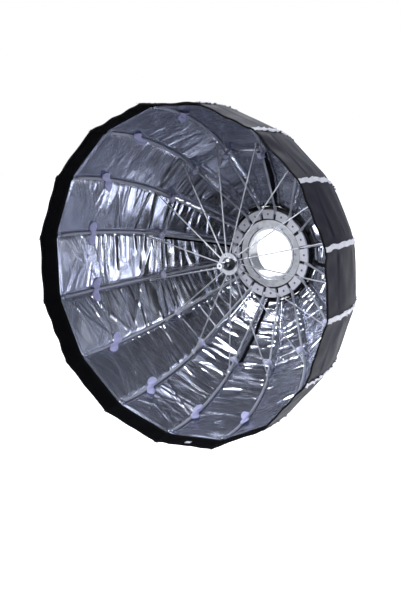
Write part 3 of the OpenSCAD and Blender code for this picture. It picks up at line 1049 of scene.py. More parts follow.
@dataclass(frozen=True)
class PileCloth(Finish):
    """Soft loop or brushed cloth: a fuzzy nap with a pale sheen."""

    other: str = "#b9b9d0"
    uneven: tuple[float, float] = (-0.05, 0.0)
    nap: float = 0.9
    depth: float = 0.25
    sheen: float = 0.35
    shine: float = 0.2

    def pattern(self, tree: Tree, place: Socket) -> Pattern:
        """Uneven colour, and a nap of small tufts."""
        tufts, cloud = (
            add(tree, "ShaderNodeTexNoise", {"Vector": place, "Scale": scale, "Detail": detail})
            for scale, detail in ((1 / (self.nap * MM), 3.0), (120.0, 2.0))
        )
        return cloud, tufts


@dataclass(frozen=True)
class FloorPaint(Finish):
    """Matt studio floor, almost white, which is lit from below its face."""

    other: str = "#f4f4f4"
    glow: float = 1.0

    def material(self) -> Paint:
        """Paint with an even glow.

        Returns:
            The material.
        """
        made = super().material()
        shader = made.node_tree.nodes["Principled BSDF"]
        shader.inputs["Emission Color"].default_value = linear("#ffffff")
        shader.inputs["Emission Strength"].default_value = self.glow
        return made

    def pattern(self, tree: Tree, place: Socket) -> Pattern:
        """Faint roller marks."""
        cloud = add(tree, "ShaderNodeTexNoise", {"Vector": place, "Scale": 2.0, "Detail": 4.0})
        return cloud, None


FINISHES: tuple[Finish, ...] = (
    # Turned aluminium of the insert, the brightest metal: sharp rings of light
    TurnedMetal("insert_metal", "#d2d4d8", 0.24),
    TurnedMetal("retainer_metal", "#c4c6ca", 0.30),
    # Plain steel screw heads, dull from handling
    DrawnMetal("screw_steel", "#8d8f93", 0.34, other="#6b6d71"),
    # Powder-coated cast ring: dark, with soft wide highlights
    CoatedMetal("ring_metal", "#26272a", 0.46, other="#323338"),
    # Moulded white plastic caps, which read as the pale face of the ring
    CoatedMetal("cap_plastic", "#eeeef4", 0.42, other="#dedee6", grit=1.1, depth=0.02),
    DrawnMetal("pin_steel", "#b4b6ba", 0.28),
    # Satin-plated steel rods: partly matt, so they stay pale against bright cloth
    DrawnMetal("rib_steel", "#d0d2d8", 0.42, metallic=0.6, other="#b4b7be"),
    DrawnMetal("spoke_steel", "#e2e3e8", 0.36, metallic=0.6, other="#cccdd4"),
    # Turned aluminium of the hub and its polished stud
    TurnedMetal("hub_metal", "#b4b6bc", 0.28),
    CoatedMetal("hub_dark", "#3a3b3f", 0.48, other="#46474c"),
    DrawnMetal("stud_metal", "#d4d6da", 0.16, other="#c2c4c8", depth=0.004),
    # Coated nylon of the outside: nearly black, a little blue, almost without shine
    WovenCloth("outer_nylon", "#171623", 0.55, other="#211f2e", sheen=0.02, shine=0.12),
    # Metal film on cloth: mirrors the room in broken streaks
    MetallisedCloth("silver_foil", "#d6d9e3", 0.15, other="#b8bcca", crinkle=12.0, depth=0.07),
    # The same cloth gathered small round the rods, which spreads its reflections
    MetallisedCloth(
        "sleeve_foil", "#cfd1dc", 0.42, other="#b2b4c2", metallic=0.35, depth=0.1
    ),
    # Woven polyester tape: off-white, with a weave that shows
    WovenCloth(
        "binding_tape", "#e6e6ec", 0.62, other="#cfcfd8", thread=1.0, depth=0.08, patch=18.0
    ),
    # Black nylon of the lip and its hooks, which swallow light
    WovenCloth("lip_nylon", "#08080a", 0.66, other="#0e0e11", thread=1.5, shine=0.1),
    PileCloth("hook_nylon", "#070708", 0.7, other="#0c0c0e", nap=1.4, sheen=0.0, shine=0.08),
    # Brushed loop cloth and braided cord: matt, soft and faintly lavender
    PileCloth("tab_cloth", "#d8d9fb", 0.85, other="#b7b9ea"),
    PileCloth("tie_cord", "#e6e6fa", 0.75, other="#c9c9e6", nap=0.7),
    # Dark cloth over the slits, matt beside the foil
    WovenCloth("strip_cloth", "#08080a", 0.7, other="#101013", thread=1.2, shine=0.12),
)


# ---- The canopy ----


@dataclass(frozen=True)
class Band:
    """A stretch of a skin between two distances from the ring end."""

    start: float
    end: float
    keep: float


@dataclass
class Canopy:
    """Lining and shell, cut where they fold, in a piece for each rib."""

    paint: Paints
    rib: RibLine = field(default_factory=RibLine)
    collar_reach: float = 34.0
    lining_cuts: int = 3
    shell_cuts: int = 4
    fold_room: float = 0.03
    map_shift: float = 500.0
    thickness: dict[Skin, tuple[float, float]] = field(
        default_factory=lambda: {Skin.LINING: (0.0, 0.8), Skin.SHELL: (1.1, 2.3)}
    )

    def __post_init__(self) -> None:
        """Works out the outline, the fold and the wrinkles."""
        self.line = ClothLine(self.rib)
        joints = {j["name"]: j for j in frame["joints"]}
        self.fold = math.radians(max(map(abs, joints["rib_01_fold"]["range_deg"])))
        self.fields = {skin: CreaseField(STYLES[skin], self.line) for skin in Skin}

    def share_at(self, u: float) -> float:
        """Folded width of the cloth as a share of its width at rest."""
        point, _ = self.line.at(np.array([u]))
        return float(self.rib.folded_share(point, self.fold)[0])

    def bands(self, cuts: int) -> list[Band]:
        """Stretches that fold alike, and whose fold leaves no gap.

        Args:
            cuts: Number of stretches outside the one at the ring.

        Returns:
            The stretches, from the ring to the rim.
        """
        u = np.linspace(self.collar_reach, self.line.length, 400)
        shares = np.array([self.share_at(x) for x in u])
        levels = np.linspace(shares[0], shares[-1], cuts + 1)
        edges = [float(np.interp(-level, -shares, u)) for level in levels]
        edges[0], edges[-1] = self.collar_reach, self.line.length
        found = [Band(0.0, self.collar_reach, 1.0)]
        for a, b in zip(edges[:-1], edges[1:]):
            found.append(Band(a, b, min(1.0, self.share_at(a) + self.fold_room)))
        return found

    def beside(self, skin: Skin, rib: int, u: Array, t: Array, lift: Array) -> Array:
        """Points near a rib's seam, lifted off the wrinkled face of a skin.

        Args:
            skin: The lining, lifted to the inside, or the shell, lifted outwards.
            rib: Number of the rib, 1 to 16.
            u: Distances from the ring end.
            t: Distances across the rib's plane.
            lift: Distances off the skin.

        Returns:
            Points in the shared frame.
        """
        u, t, lift = np.broadcast_arrays(*(np.asarray(x, float) for x in (u, t, lift)))
        p, n = self.line.at(u)
        width = 2 * p[..., 0] * math.sin(HALF)
        share = np.abs(t) / math.cos(HALF) / width
        right = self.fields[skin].depth((rib - 1) % RIBS, u, share, width)
        left = self.fields[skin].depth((rib - 2) % RIBS, u, 1 - share, width)
        depth = np.where(t >= 0, right, left) + lift
        low, high = self.thickness[skin]
        off = low - depth if skin is Skin.LINING else high + depth
        return near_seam(p, n, t, off, rib)

    def gore_blocks(self, skin: Skin, rows: Array, half_cols: int) -> list[Block]:
        """Every gore's whole surface.

        Args:
            skin: The skin.
            rows: Distances from the ring end.
            half_cols: Columns of quads in half a gore.

        Returns:
            A block for each gore.
        """
        share = np.linspace(0, 1, 2 * half_cols + 1)
        p, n = self.line.at(rows)
        width = 2 * p[:, 0] * math.sin(HALF)
        low, high = self.thickness[skin]
        sign = -1 if skin is Skin.LINING else 1
        made = []
        for gore in range(RIBS):
            angle = rib_angle(gore + 1) + HALF
            depth = sign * self.fields[skin].depth(
                gore, rows[:, None], share[None, :], width[:, None]
            )
            layers = [
                placed(
                    p[:, :1] * math.cos(HALF) + (off + depth) * n[:, :1],
                    (2 * share[None, :] - 1) * p[:, :1] * math.sin(HALF),
                    p[:, 1:] + (off + depth) * n[:, 1:],
                    angle,
                )
                for off in (low, high)
            ]
            down, across = (np.gradient(layers[0], axis=way) for way in (0, 1))
            x = (share[None, :] - 0.5) * width[:, None] + self.map_shift * gore
            made.append(
                Block(*layers, cloth_map(x, rows[:, None]), unit(np.cross(across, down)))
            )
        return made

    def build(self) -> list[Piece]:
        """Builds both skins.

        Returns:
            Their pieces.
        """
        pieces = []
        for skin, cuts, spacing, half_cols, slot in (
            (Skin.LINING, self.lining_cuts, 1.6, 14, "silver_foil"),
            (Skin.SHELL, self.shell_cuts, 2.6, 10, "outer_nylon"),
        ):
            bands = self.bands(cuts)
            counts = [max(3, round((b.end - b.start) / spacing)) for b in bands]
            rows = np.concatenate(
                [np.linspace(b.start, b.end, n + 1)[:-1] for b, n in zip(bands, counts)]
                + [[self.line.length]]
            )
            blocks = self.gore_blocks(skin, rows, half_cols)
            for rib in range(1, RIBS + 1):
                halves = (
                    self.part(blocks[(rib - 2) % RIBS], slice(half_cols, None)),
                    self.part(blocks[rib - 1], slice(0, half_cols + 1)),
                )
                pieces += [
                    self.strip(skin, slot, rib, number, band, rows, halves)
                    for number, band in enumerate(bands)
                ]
        return pieces

    @staticmethod
    def part(block: Block, cols: slice, rows: slice = slice(None)) -> Block:
        """Some rows and columns of a block."""
        return Block(
            block.inner[rows, cols], block.outer[rows, cols],
            block.uv[rows, cols], block.normal[rows, cols],
        )

    def strip(
        self, skin: Skin, slot: str, rib: int, number: int, band: Band, rows: Array,
        halves: Iterable[Block],
    ) -> Piece:
        """One piece of a skin: a band between the middles of two gores.

        Args:
            skin: The skin.
            slot: Material slot.
            rib: Number of the rib that it rides on.
            number: Number of the band.
            band: The band.
            rows: Distances of the blocks' rows.
            halves: The two half gores beside the rib.

        Returns:
            The piece.
        """
        first, last = (int(np.argmin(np.abs(rows - end))) for end in (band.start, band.end))
        name = f"{skin.value}_{rib:02d}_{'abcdef'[number]}"
        strips = [self.part(h, slice(None), slice(first, last + 1)) for h in halves]
        piece = make_object(name, sheet_mesh(name, strips), self.paint[slot])
        if number == 0:
            bend_with_collar(self, piece, rib)
        else:
            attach(piece, rib_body(rib))
            fold_with(piece, rib)
        stands_for(skin.value)
        p, _ = self.line.at(np.array([band.start, band.end]))
        return piece


def stands_for(node: str) -> None:
    """Hides the CAD part that a piece stands in for."""
    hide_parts(node)


def fold_with(piece: Piece, rib: int) -> None:
    """Gives a piece that rides on a rib its own copy of its mesh.

    Args:
        piece: The piece, which rides on the rib.
        rib: Number of the rib.
    """
    angle = rib_angle(rib)
    tuple(placed(RibLine.pivot[0], 0.0, RibLine.pivot[1], angle))
    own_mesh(piece)


def near_seam(p: Array, n: Array, t: Array, off: Array, rib: int) -> Array:
    """Points beside a rib's seam, where two flat sides meet at an angle.

    Args:
        p: Points (r, s) of the seam.
        n: Outward normals (r, s) there.
        t: Distances across the rib's plane.
        off: Distances outwards from the sides.
        rib: Number of the rib, 1 to 16.

    Returns:
        Points in the shared frame.
    """
    q = np.abs(t) / math.cos(HALF)
    lean = np.clip(t / 2.0, -1, 1) * math.sin(HALF)
    return placed(
        p[..., 0] - q * math.sin(HALF) + off * n[..., 0] * math.cos(HALF),
        t + off * n[..., 0] * lean,
        p[..., 1] + off * n[..., 1],
        rib_angle(rib),
    )


def ripples(
    rng: np.random.Generator, x: Array, pitch: tuple[float, float], count: int = 4
) -> Array:
    """An irregular wave of about -1 to 1 along a length.

    Args:
        rng: Source of its chance.
        x: Distances along the length.
        pitch: Shortest and longest wave.
        count: Number of waves that are summed.

    Returns:
        The wave at each distance.
    """
    waves = [
        np.sin(2 * math.pi * x / rng.uniform(*pitch) + rng.uniform(0, 2 * math.pi))
        for _ in range(count)
    ]
    return np.sum(waves, axis=0) / math.sqrt(count)


@dataclass
class SeamTapes:
    """Light binding tape over each outer seam and the lip, sewn at both edges."""

    canopy: Canopy
    lip: "FrontLip"
    width: float = 10.5
    start: float = 10.0
    lift: float = 0.2
    lip_lift: float = 1.1
    thickness: float = 0.8
    pucker: float = 2.4
    sway: float = 1.5
    stitch_inset: float = 1.6
    thread_lift: float = 0.12
    end_room: float = 0.8
    seed: int = 41

    def surface(self, rib: int, u: Array, t: Array, lift: Array) -> Array:
        """Points over a seam, first on the shell and then on the lip.

        Args:
            rib: Number of the rib.
            u: Distances from the ring end, on past the rim.
            t: Distances across the rib's plane.
            lift: Distances off the cloth.

        Returns:
            Points in the shared frame.
        """
        u, t, lift = np.broadcast_arrays(*(np.asarray(x, float) for x in (u, t, lift)))
        rim = self.canopy.line.length
        on_shell = self.canopy.beside(Skin.SHELL, rib, np.minimum(u, rim), t, lift)
        f = np.clip(1 - (u - rim) / self.lip.reach, 0, 1)
        p = self.lip.section(f)
        n = np.broadcast_to(np.array([1.0, 0.0]), p.shape)
        on_lip = near_seam(p, n, t, lift + self.lip_lift, rib)
        # The step from the shell to the lip is spread over 12 mm
        share = smooth((u - rim + 6) / 12)[..., None]
        return (1 - share) * on_shell + share * on_lip

    def build(self) -> list[Piece]:
        """Builds a tape for each rib.

        Returns:
            The tapes.
        """
        rng = np.random.default_rng(self.seed)
        sewing = stitch_tree("tape_stitches", pitch=4.4, length=3.1, radius=0.26)
        paint = self.canopy.paint["binding_tape"]
        end = self.canopy.line.length + self.lip.reach - self.end_room
        u = np.linspace(self.start, end, 235)
        across = np.linspace(-1, 1, 9)
        side = np.where(across < 0, 0, 1)
        half, top = self.width / 2, self.lift + self.thickness
        inset = 1 - self.stitch_inset / half
        pieces = []
        for rib in range(1, RIBS + 1):
            puckers = [np.maximum(ripples(rng, u, (16, 42)), 0) for _ in range(2)]
            sway = ripples(rng, u, (30, 90)) * self.sway
            raised = np.array(puckers)[side].T * (across**2)[None, :] * self.pucker
            t = across[None, :] * half + sway[:, None]
            faces = [self.surface(rib, u[:, None], t, at + raised) for at in (self.lift, top)]
            paths = [
                self.surface(
                    rib, u, sign * inset * half + sway,
                    top + self.thread_lift + pucker * inset**2 * self.pucker,
                )
                for sign, pucker in zip((-1, 1), puckers)
            ]
            name = f"seam_tape_{rib:02d}"
            mesh = sheet_mesh(name, [Block(*faces, cloth_map(t, u[:, None]))], paths)
            piece = make_object(name, mesh, paint)
            sewing.grow(piece, paint)
            bend_with_collar(self.canopy, piece, rib)
            stands_for("seam_tapes")
            pieces.append(piece)
        return pieces


def bend_with_collar(canopy: Canopy, piece: Piece, rib: int) -> None:
    """Bakes a piece's place into its mesh.

    Args:
        canopy: The canopy.
        piece: The piece.
        rib: Number of the rib that it follows further out.
    """
    p, _ = canopy.line.at(np.array([0.0, canopy.collar_reach]))
    start, end = (placed(q[0], 0.0, q[1], rib_angle(rib)) for q in p)
    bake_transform(piece)


@dataclass
class SeamSleeves:
    """Lining cloth sewn round the bowed part of each rib."""

    canopy: Canopy
    radius: float = 3.6
    gather: float = 1.2
    end_room: float = 17.0

    def build(self) -> list[Piece]:
        """Builds a sleeve for each rib.

        Returns:
            The sleeves.
        """
        rib_line = self.canopy.rib
        wrap = sleeve_tree(self.radius, self.gather, spacing=1.8)
        last = 1 - self.end_room / (rib_line.bow_radius * rib_line.bow)
        path = np.array([rib_line.on_bow(f) for f in np.linspace(-0.02, last, 40)])
        pieces = []
        for rib in range(1, RIBS + 1):
            points = placed(path[:, 0], 0.0, path[:, 1], rib_angle(rib))
            name = f"seam_sleeve_{rib:02d}"
            mesh = bpy.data.meshes.new(name)
            edges = [(i, i + 1) for i in range(len(points) - 1)]
            mesh.from_pydata(points.tolist(), edges, [])
            piece = make_object(name, mesh, self.canopy.paint["sleeve_foil"])
            wrap.grow(piece, self.canopy.paint["sleeve_foil"])
            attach(piece, rib_body(rib))
            stands_for("seam_sleeves")
            pieces.append(piece)
        return pieces


@dataclass
class FrontLip:
    """Black lip in front of the rim, its cover, hook band, pockets and tag."""

    canopy: Canopy
    tip: tuple[float, float] = (388.52, 384.84)
    tip_lean: float = math.radians(3.6)
    out: float = 6.88
    front: tuple[float, float] = (400.02, 439.84)
    thickness: float = 2.2
    hem: float = 0.8
    hem_share: float = 0.085
    hem_ramp: float = 0.018
    cover_lift: float = 0.1
    cover_thickness: float = 0.7
    seams: tuple[float, float] = (0.115, 0.93)
    thread_lift: float = 0.15
    wave: float = 1.3
    hook_from: float = 0.11
    hook_to: float = 0.80
    hook_gap: float = 0.3
    hook_thickness: float = 1.2
    fold_keep: float = 0.22
    map_height: float = 56.0
    # The tag's middle and half size, as shares of a side's width and height
    tag_rib: int = 9
    tag_at: tuple[float, float] = (-0.44, 0.17)
    tag_half: tuple[float, float] = (0.045, 0.1)
    tag_lift: float = 1.9
    tag_thickness: float = 0.5
    pocket_size: tuple[float, float] = (4.35, 4.3)
    pocket_flare: float = 1.6
    seed: int = 57

    def __post_init__(self) -> None:
        """Draws the waves of every side."""
        rng = np.random.default_rng(self.seed)
        self.count = rng.uniform(0.8, 3.4, (RIBS, 3))
        self.tilt = rng.uniform(-0.5, 0.5, (RIBS, 3))
        self.phase = rng.uniform(0, 2 * math.pi, (RIBS, 3))

    @property
    def reach(self) -> float:
        """Distance from the rim to the lip's front edge."""
        return float(np.linalg.norm(self.section(0.0) - self.section(1.0)))

    def section(self, f: Array | float) -> Array:
        """Outer corner (r, s) of the lip from its front, 0, to the rim, 1."""
        rim = np.array(self.tip) - self.out * inward(self.tip_lean)
        rim = rim + 0.4 * along(self.tip_lean)
        f = np.asarray(f, float)[..., None]
        return (1 - f) * np.array(self.front) + f * rim

    def waved(self, rib: int, f: Array, share: Array) -> Array:
        """Waviness of a flat side.

        Args:
            rib: Number of the rib.
            f: Shares of the way from the front to the rim.
            share: Shares across the half sides, -0.5 to 0.5.

        Returns:
            Distances outwards.
        """
        gore = np.where(share >= 0, (rib - 1) % RIBS, (rib - 2) % RIBS)
        x = np.where(share >= 0, share, 1 + share)
        total = np.zeros(np.broadcast(f, share).shape)
        for i in range(3):
            turn = x * self.count[gore, i] + f * self.tilt[gore, i]
            total = total + np.sin(2 * math.pi * turn + self.phase[gore, i])
        calm = smooth(np.minimum(x, 1 - x) / 0.14) * (1 - 0.7 * smooth((f - 0.6) / 0.4))
        return self.wave * total / 1.8 * calm

    def side(self, rib: int, f: Array, share: Array, off: Array) -> Array:
        """Points of the lip beside a rib.

        Args:
            rib: Number of the rib.
            f: Shares of the way from the front to the rim.
            share: Shares across the half sides, -0.5 to 0.5.
            off: Distances outwards from the outer face.

        Returns:
            Points in the shared frame.
        """
        f, share, off = np.broadcast_arrays(f, share, off)
        p = self.section(f)
        n = np.broadcast_to(np.array([1.0, 0.0]), p.shape)
        t = share * 2 * p[..., 0] * math.sin(HALF) * math.cos(HALF)
        return near_seam(p, n, t, off + self.waved(rib, f, share), rib)

    def build(self) -> list[Piece]:
        """Builds the lip, its hook band and the pockets.

        Returns:
            Their pieces.
        """
        sewing = stitch_tree("lip_stitches", pitch=5.0, length=3.6, radius=0.3)
        hooks = hook_tree(pitch=2.7, height=1.3, radius=0.55)
        f = np.r_[np.linspace(1, 0.12, 22), np.linspace(0.10, 0.0, 7)][:, None]
        round_edge = np.sqrt(np.clip(1 - (1 - np.clip(f / 0.02, 0, 1)) ** 2, 0.05, 1))
        roll = self.hemmed(f) * round_edge
        g = np.linspace(1.0, self.hem_share, 22)[:, None]
        over = self.cover_lift + self.hemmed(g)
        h = np.linspace(self.hook_to, self.hook_from, 12)[:, None]
        back = -self.thickness - self.hook_gap
        across = np.linspace(-0.5, 0.5, 41)
        sewn = np.linspace(-0.5, 0.5, 61)
        threads = (self.thread_lift, -self.thickness - self.thread_lift)
        pieces = []
        for rib in range(1, RIBS + 1):
            paths = [
                self.side(rib, np.array(at), sewn, off) for off in threads for at in self.seams
            ]
            for name, node, slot, rows, low, high, lines, grower in (
                ("rim_lip", "rim_lip", "lip_nylon", f, -self.thickness - roll, roll, paths,
                 sewing),
                ("lip_cover", "rim_lip", "outer_nylon", g, over, over + self.cover_thickness,
                 (), None),
                ("hook_band", "hook_band", "hook_nylon", h, back - self.hook_thickness, back,
                 (), hooks),
            ):
                block = self.block(rib, rows, across, low, high)
                piece = self.piece(f"{name}_{rib:02d}", block, slot, node, rib, 1.0, lines)
                if grower:
                    grower.grow(piece, self.canopy.paint[slot])
                fold_with(piece, rib)
                pieces.append(piece)
            pieces.append(self.pocket(rib))
        return [*pieces, self.tag()]

    def hemmed(self, f: Array) -> Array:
        """How far the hem stands out at shares of the way to the rim."""
        return self.hem * smooth((self.hem_share - f) / self.hem_ramp)

    def block(
        self, rib: int, f: Array, share: Array, low: Array | float, high: Array | float
    ) -> Block:
        """A grid over one side of the lip.

        Args:
            rib: Number of the rib.
            f: Shares of the way from the front to the rim.
            share: Shares across the half sides, -0.5 to 0.5.
            low: Distances outwards of the inner face.
            high: Distances outwards of the outer face.

        Returns:
            The grid.
        """
        share = share[None, :]
        faces = [self.side(rib, f, share, off) for off in (low, high)]
        return Block(*faces, cloth_map(share * self.width, f * self.map_height))

    @property
    def width(self) -> float:
        """Width of a side at its front."""
        return 2 * self.front[0] * math.sin(HALF)

    def tag(self) -> Piece:
        """Makes the small blank tag that is sewn inside the lip.

        Returns:
            The tag.
        """
        wide, high = self.tag_half
        f = np.linspace(self.tag_at[1] + high, self.tag_at[1] - high, 7)[:, None]
        share = self.tag_at[0] + np.linspace(-wide, wide, 11)
        face = -self.thickness - self.hook_thickness - self.tag_lift
        block = self.block(self.tag_rib, f, share, face - self.tag_thickness, face)
        # Its threads are drawn wide, so that it looks like a plain ribbon
        block.uv[..., 0] *= 2 * wide
        piece = self.piece(
            "lip_tag", block, "binding_tape", "rim_lip", self.tag_rib, 2 * wide
        )
        fold_with(piece, self.tag_rib)
        return piece

    def piece(
        self, name: str, block: Block, slot: str, node: str, rib: int, share: float,
        paths: Sequence[Array] = (),
    ) -> Piece:
        """Makes one side's piece of the lip, its cover or the hook band.

        Args:
            name: Its name.
            block: Its grid.
            slot: Its material slot.
            node: The CAD node that it stands for.
            rib: The rib that it rides on.
            share: Its share of a side's width; not used.
            paths: Lines of stitches.

        Returns:
            The piece.
        """
        mesh = sheet_mesh(name, [block], paths)
        piece = make_object(name, mesh, self.canopy.paint[slot])
        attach(piece, rib_body(rib))
        stands_for(node)
        return piece

    def pocket(self, rib: int) -> Piece:
        """Makes the pocket that holds a rib's tip.

        Args:
            rib: Number of the rib.

        Returns:
            The pocket.
        """
        reach = np.r_[np.linspace(-11.0, 2.0, 9), [3.0, 3.8, 4.2]]
        scale = np.r_[[1.06], np.ones(8), [0.93, 0.7, 0.3]]
        a = turns(28)
        flare = smooth((np.cos(a) + 0.25) / 1.1)
        rings = []
        rng = np.random.default_rng(60 + rib)
        crumple = 1 + 0.05 * np.array([ripples(rng, a * 10, (8, 25)) for _ in reach])
        deep, wide = self.pocket_size
        out = -inward(self.tip_lean)
        for along_tip, size, crease in zip(reach, scale, crumple):
            x = deep * np.cos(a) * size
            t = (wide + self.pocket_flare * flare) * np.sin(a) * size * crease
            c = np.array(self.tip) + along_tip * along(self.tip_lean)
            rings.append(placed(c[0] + x * out[0], t, c[1] + x * out[1], rib_angle(rib)))
        lump = Lump()
        lump.add_tube(np.array(rings))
        name = f"rib_pocket_{rib:02d}"
        piece = make_object(name, lump.mesh(name), self.canopy.paint["silver_foil"])
        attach(piece, rib_body(rib))
        stands_for("rib_pockets")
        return piece


@dataclass
class RibTrim:
    """Soft tabs over the ribs, ties round them and strips over the slits."""

    canopy: Canopy
    tab_at: float = 0.54
    tab_half: float = 29.0
    tab_width: float = 23.0
    tab_rise: float = 5.2
    tab_lift: float = 6.0
    tab_thickness: float = 1.6
    # Share of each direction that shows when the box is seen from the front right
    seen_across: float = 0.854
    seen_deep: float = 0.52
    tie_radius: float = 3.9
    cord: float = 2.1
    strip_ribs: tuple[int, ...] = (4, 8, 12, 16)
    strip_from: float = 3.0
    strip_width: float = 10.0
    strip_start: float = 8.0
    strip_thickness: float = 0.8

    def build(self) -> list[Piece]:
        """Builds the tabs, ties and strips.

        Returns:
            Their pieces.
        """
        pieces = []
        for rib in range(1, RIBS + 1):
            pieces += [self.tab(rib), self.tie(rib)]
        return pieces + [self.strip(rib) for rib in self.strip_ribs]

    def tab(self, rib: int) -> Piece:
        """Makes the soft two-lobed tab over a rib.

        Args:
            rib: Number of the rib.

        Returns:
            The tab.
        """
        rng = np.random.default_rng(100 + rib)
        rib_line = self.canopy.rib
        share = np.linspace(-1, 1, 33)[None, :]
        v = np.linspace(-1, 1, 13)[:, None]
        round_end = np.sqrt(np.clip(1 - (np.abs(share) * 0.97) ** 3.2, 0.04, 1))
        waist = (0.58 + 0.42 * smooth(np.abs(share) / 0.5)) * round_end
        lean = rib_line.bow_lean(self.tab_at)
        c = rib_line.on_bow(self.tab_at)
        out, way = -inward(lean), along(lean)
        # Its lobes hang over the rib, so it lies about upright when seen from there
        angle = rib_angle(rib)
        turn = math.atan2(
            self.seen_across * math.sin(angle),
            self.seen_across * way[0] * math.cos(angle) - self.seen_deep * way[1],
        ) + rng.uniform(-0.3, 0.3)
        p = self.tab_half * share + 0 * v
        bow = 0.14 * self.tab_half * share**2 * rng.choice([-1, 1])
        q = self.tab_width / 2 * waist * v + bow
        t = p * math.cos(turn) - q * math.sin(turn)
        length = p * math.sin(turn) + q * math.cos(turn)
        hump = np.exp(-((np.abs(t) / 6.0) ** 2.4))
        x = 3.6 - np.abs(t) * math.tan(HALF) - 1.0 - hump * (self.tab_rise + 3.2)
        puff = 2.6 * np.clip(1 - v * v, 0, 1) ** 0.5 * round_end * (1 - hump)
        curl = rng.uniform(0.6, 1.8) * np.clip(v * rng.choice([-1, 1]), 0, 1) ** 2 * (1 - hump)
        dimples = 0.6 * np.maximum(ripples(rng, t + length * 0.4, (7, 16)), 0)
        x = x - curl - puff - dimples
        x = x - self.tab_lift * share**2 * rng.uniform(0.4, 1.0) * (1 - hump)

        def at(lift: float) -> Array:
            """The tab's face, lifted off the lining."""
            xx = x - lift * (1 - 0.35 * v * v)
            return placed(
                c[0] + xx * out[0] + length * way[0], t,
                c[1] + xx * out[1] + length * way[1], angle,
            )

        name = f"soft_tab_{rib:02d}"
        mesh = sheet_mesh(name, [Block(at(self.tab_thickness), at(0.0), cloth_map(p, q))])
        piece = make_object(name, mesh, self.canopy.paint["tab_cloth"])
        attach(piece, rib_body(rib))
        stands_for("velcro_tabs")
        return piece

    def tie(self, rib: int) -> Piece:
        """Makes the cord that is knotted round a rib and sewn to the lining.

        Args:
            rib: Number of the rib.

        Returns:
            The tie.
        """
        rng = np.random.default_rng(200 + rib)
        rib_line, angle = self.canopy.rib, rib_angle(rib)
        c = rib_line.on_straight(self.canopy.line.tie_at)
        out, way = -inward(rib_line.lean), along(rib_line.lean)
        radial = placed(way[0], 0.0, way[1], angle) / MM

        def points(x: Array, t: Array, v: Array) -> Array:
            """Points about the rod: towards the cloth, across, and along."""
            return placed(
                c[0] + x * out[0] + v * way[0], t, c[1] + x * out[1] + v * way[1], angle
            )

        lump = Lump()
        a = turns(20)
        for shift in (-1.3, 1.0):
            radius = self.tie_radius + 0.15 * np.sin(3 * a + rng.uniform(0, 6))
            path = points(radius * np.cos(a), radius * np.sin(a), shift + 0.5 * np.sin(a))
            lump.add_tube(closed_rings(path, radial, self.cord * MM, 8), loop=True)
        k = turns(36)
        over, side = -7.0 + 1.8 * np.sin(2 * k), 4.2 * np.cos(k) + 1.4 * np.cos(3 * k)
        knot = points(over, side, 3.6 * np.sin(k))
        lump.add_tube(closed_rings(knot, radial, 2.0 * self.cord * MM, 12), loop=True)
        for sign in (-1, 1):
            w = np.linspace(0, 1, 8)
            hang = rng.uniform(8.0, 14.0)
            tail = points(
                -6.4 - 2.0 * w + 2.5 * w * w, sign * (2.0 + hang * w),
                sign * 1.6 + rng.uniform(-6, 6) * w * w,
            )
            taper = np.linspace(1.1, 0.7, 8) * self.cord * MM
            lump.add_tube(tube_rings(tail, radial, taper, 8))
            w = np.linspace(0, 1, 9)
            strap = points(
                self.tie_radius + w * 15.0, sign * (0.2 + 0.9 * np.sin(math.pi * w)),
                sign * 0.8 * np.ones_like(w),
            )
            lump.add_tube(tube_rings(strap, radial, self.cord * MM * 0.8, 8))
        name = f"rib_tie_{rib:02d}"
        piece = make_object(name, lump.mesh(name), self.canopy.paint["tie_cord"])
        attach(piece, rib_body(rib))
        stands_for("rib_ties")
        return piece

    def strip(self, rib: int) -> Piece:
        """Makes the dark strip that covers a slit beside a rib.

        Args:
            rib: Number of the rib.

        Returns:
            The strip.
        """
        rng = np.random.default_rng(300 + rib)
        line = self.canopy.line
        end = line.distance_of(line.tie_point)
        u = np.linspace(self.strip_start, end, 60)[:, None]
        t = self.strip_from + np.linspace(0, 1, 7)[None, :] * self.strip_width
        t = t + 0.7 * ripples(rng, u, (30, 70))
        lift = 0.3 + 0.7 * np.maximum(ripples(rng, u + 0.6 * t, (14, 30)), 0)
        faces = [
            self.canopy.beside(Skin.LINING, rib, u, t, lift + more)
            for more in (self.strip_thickness, 0.0)
        ]
        name = f"slit_strip_{rib:02d}"
        mesh = sheet_mesh(name, [Block(*faces, cloth_map(t, u))])
        piece = make_object(name, mesh, self.canopy.paint["strip_cloth"])
        bend_with_collar(self.canopy, piece, rib)
        stands_for("slit_strips")
        return piece


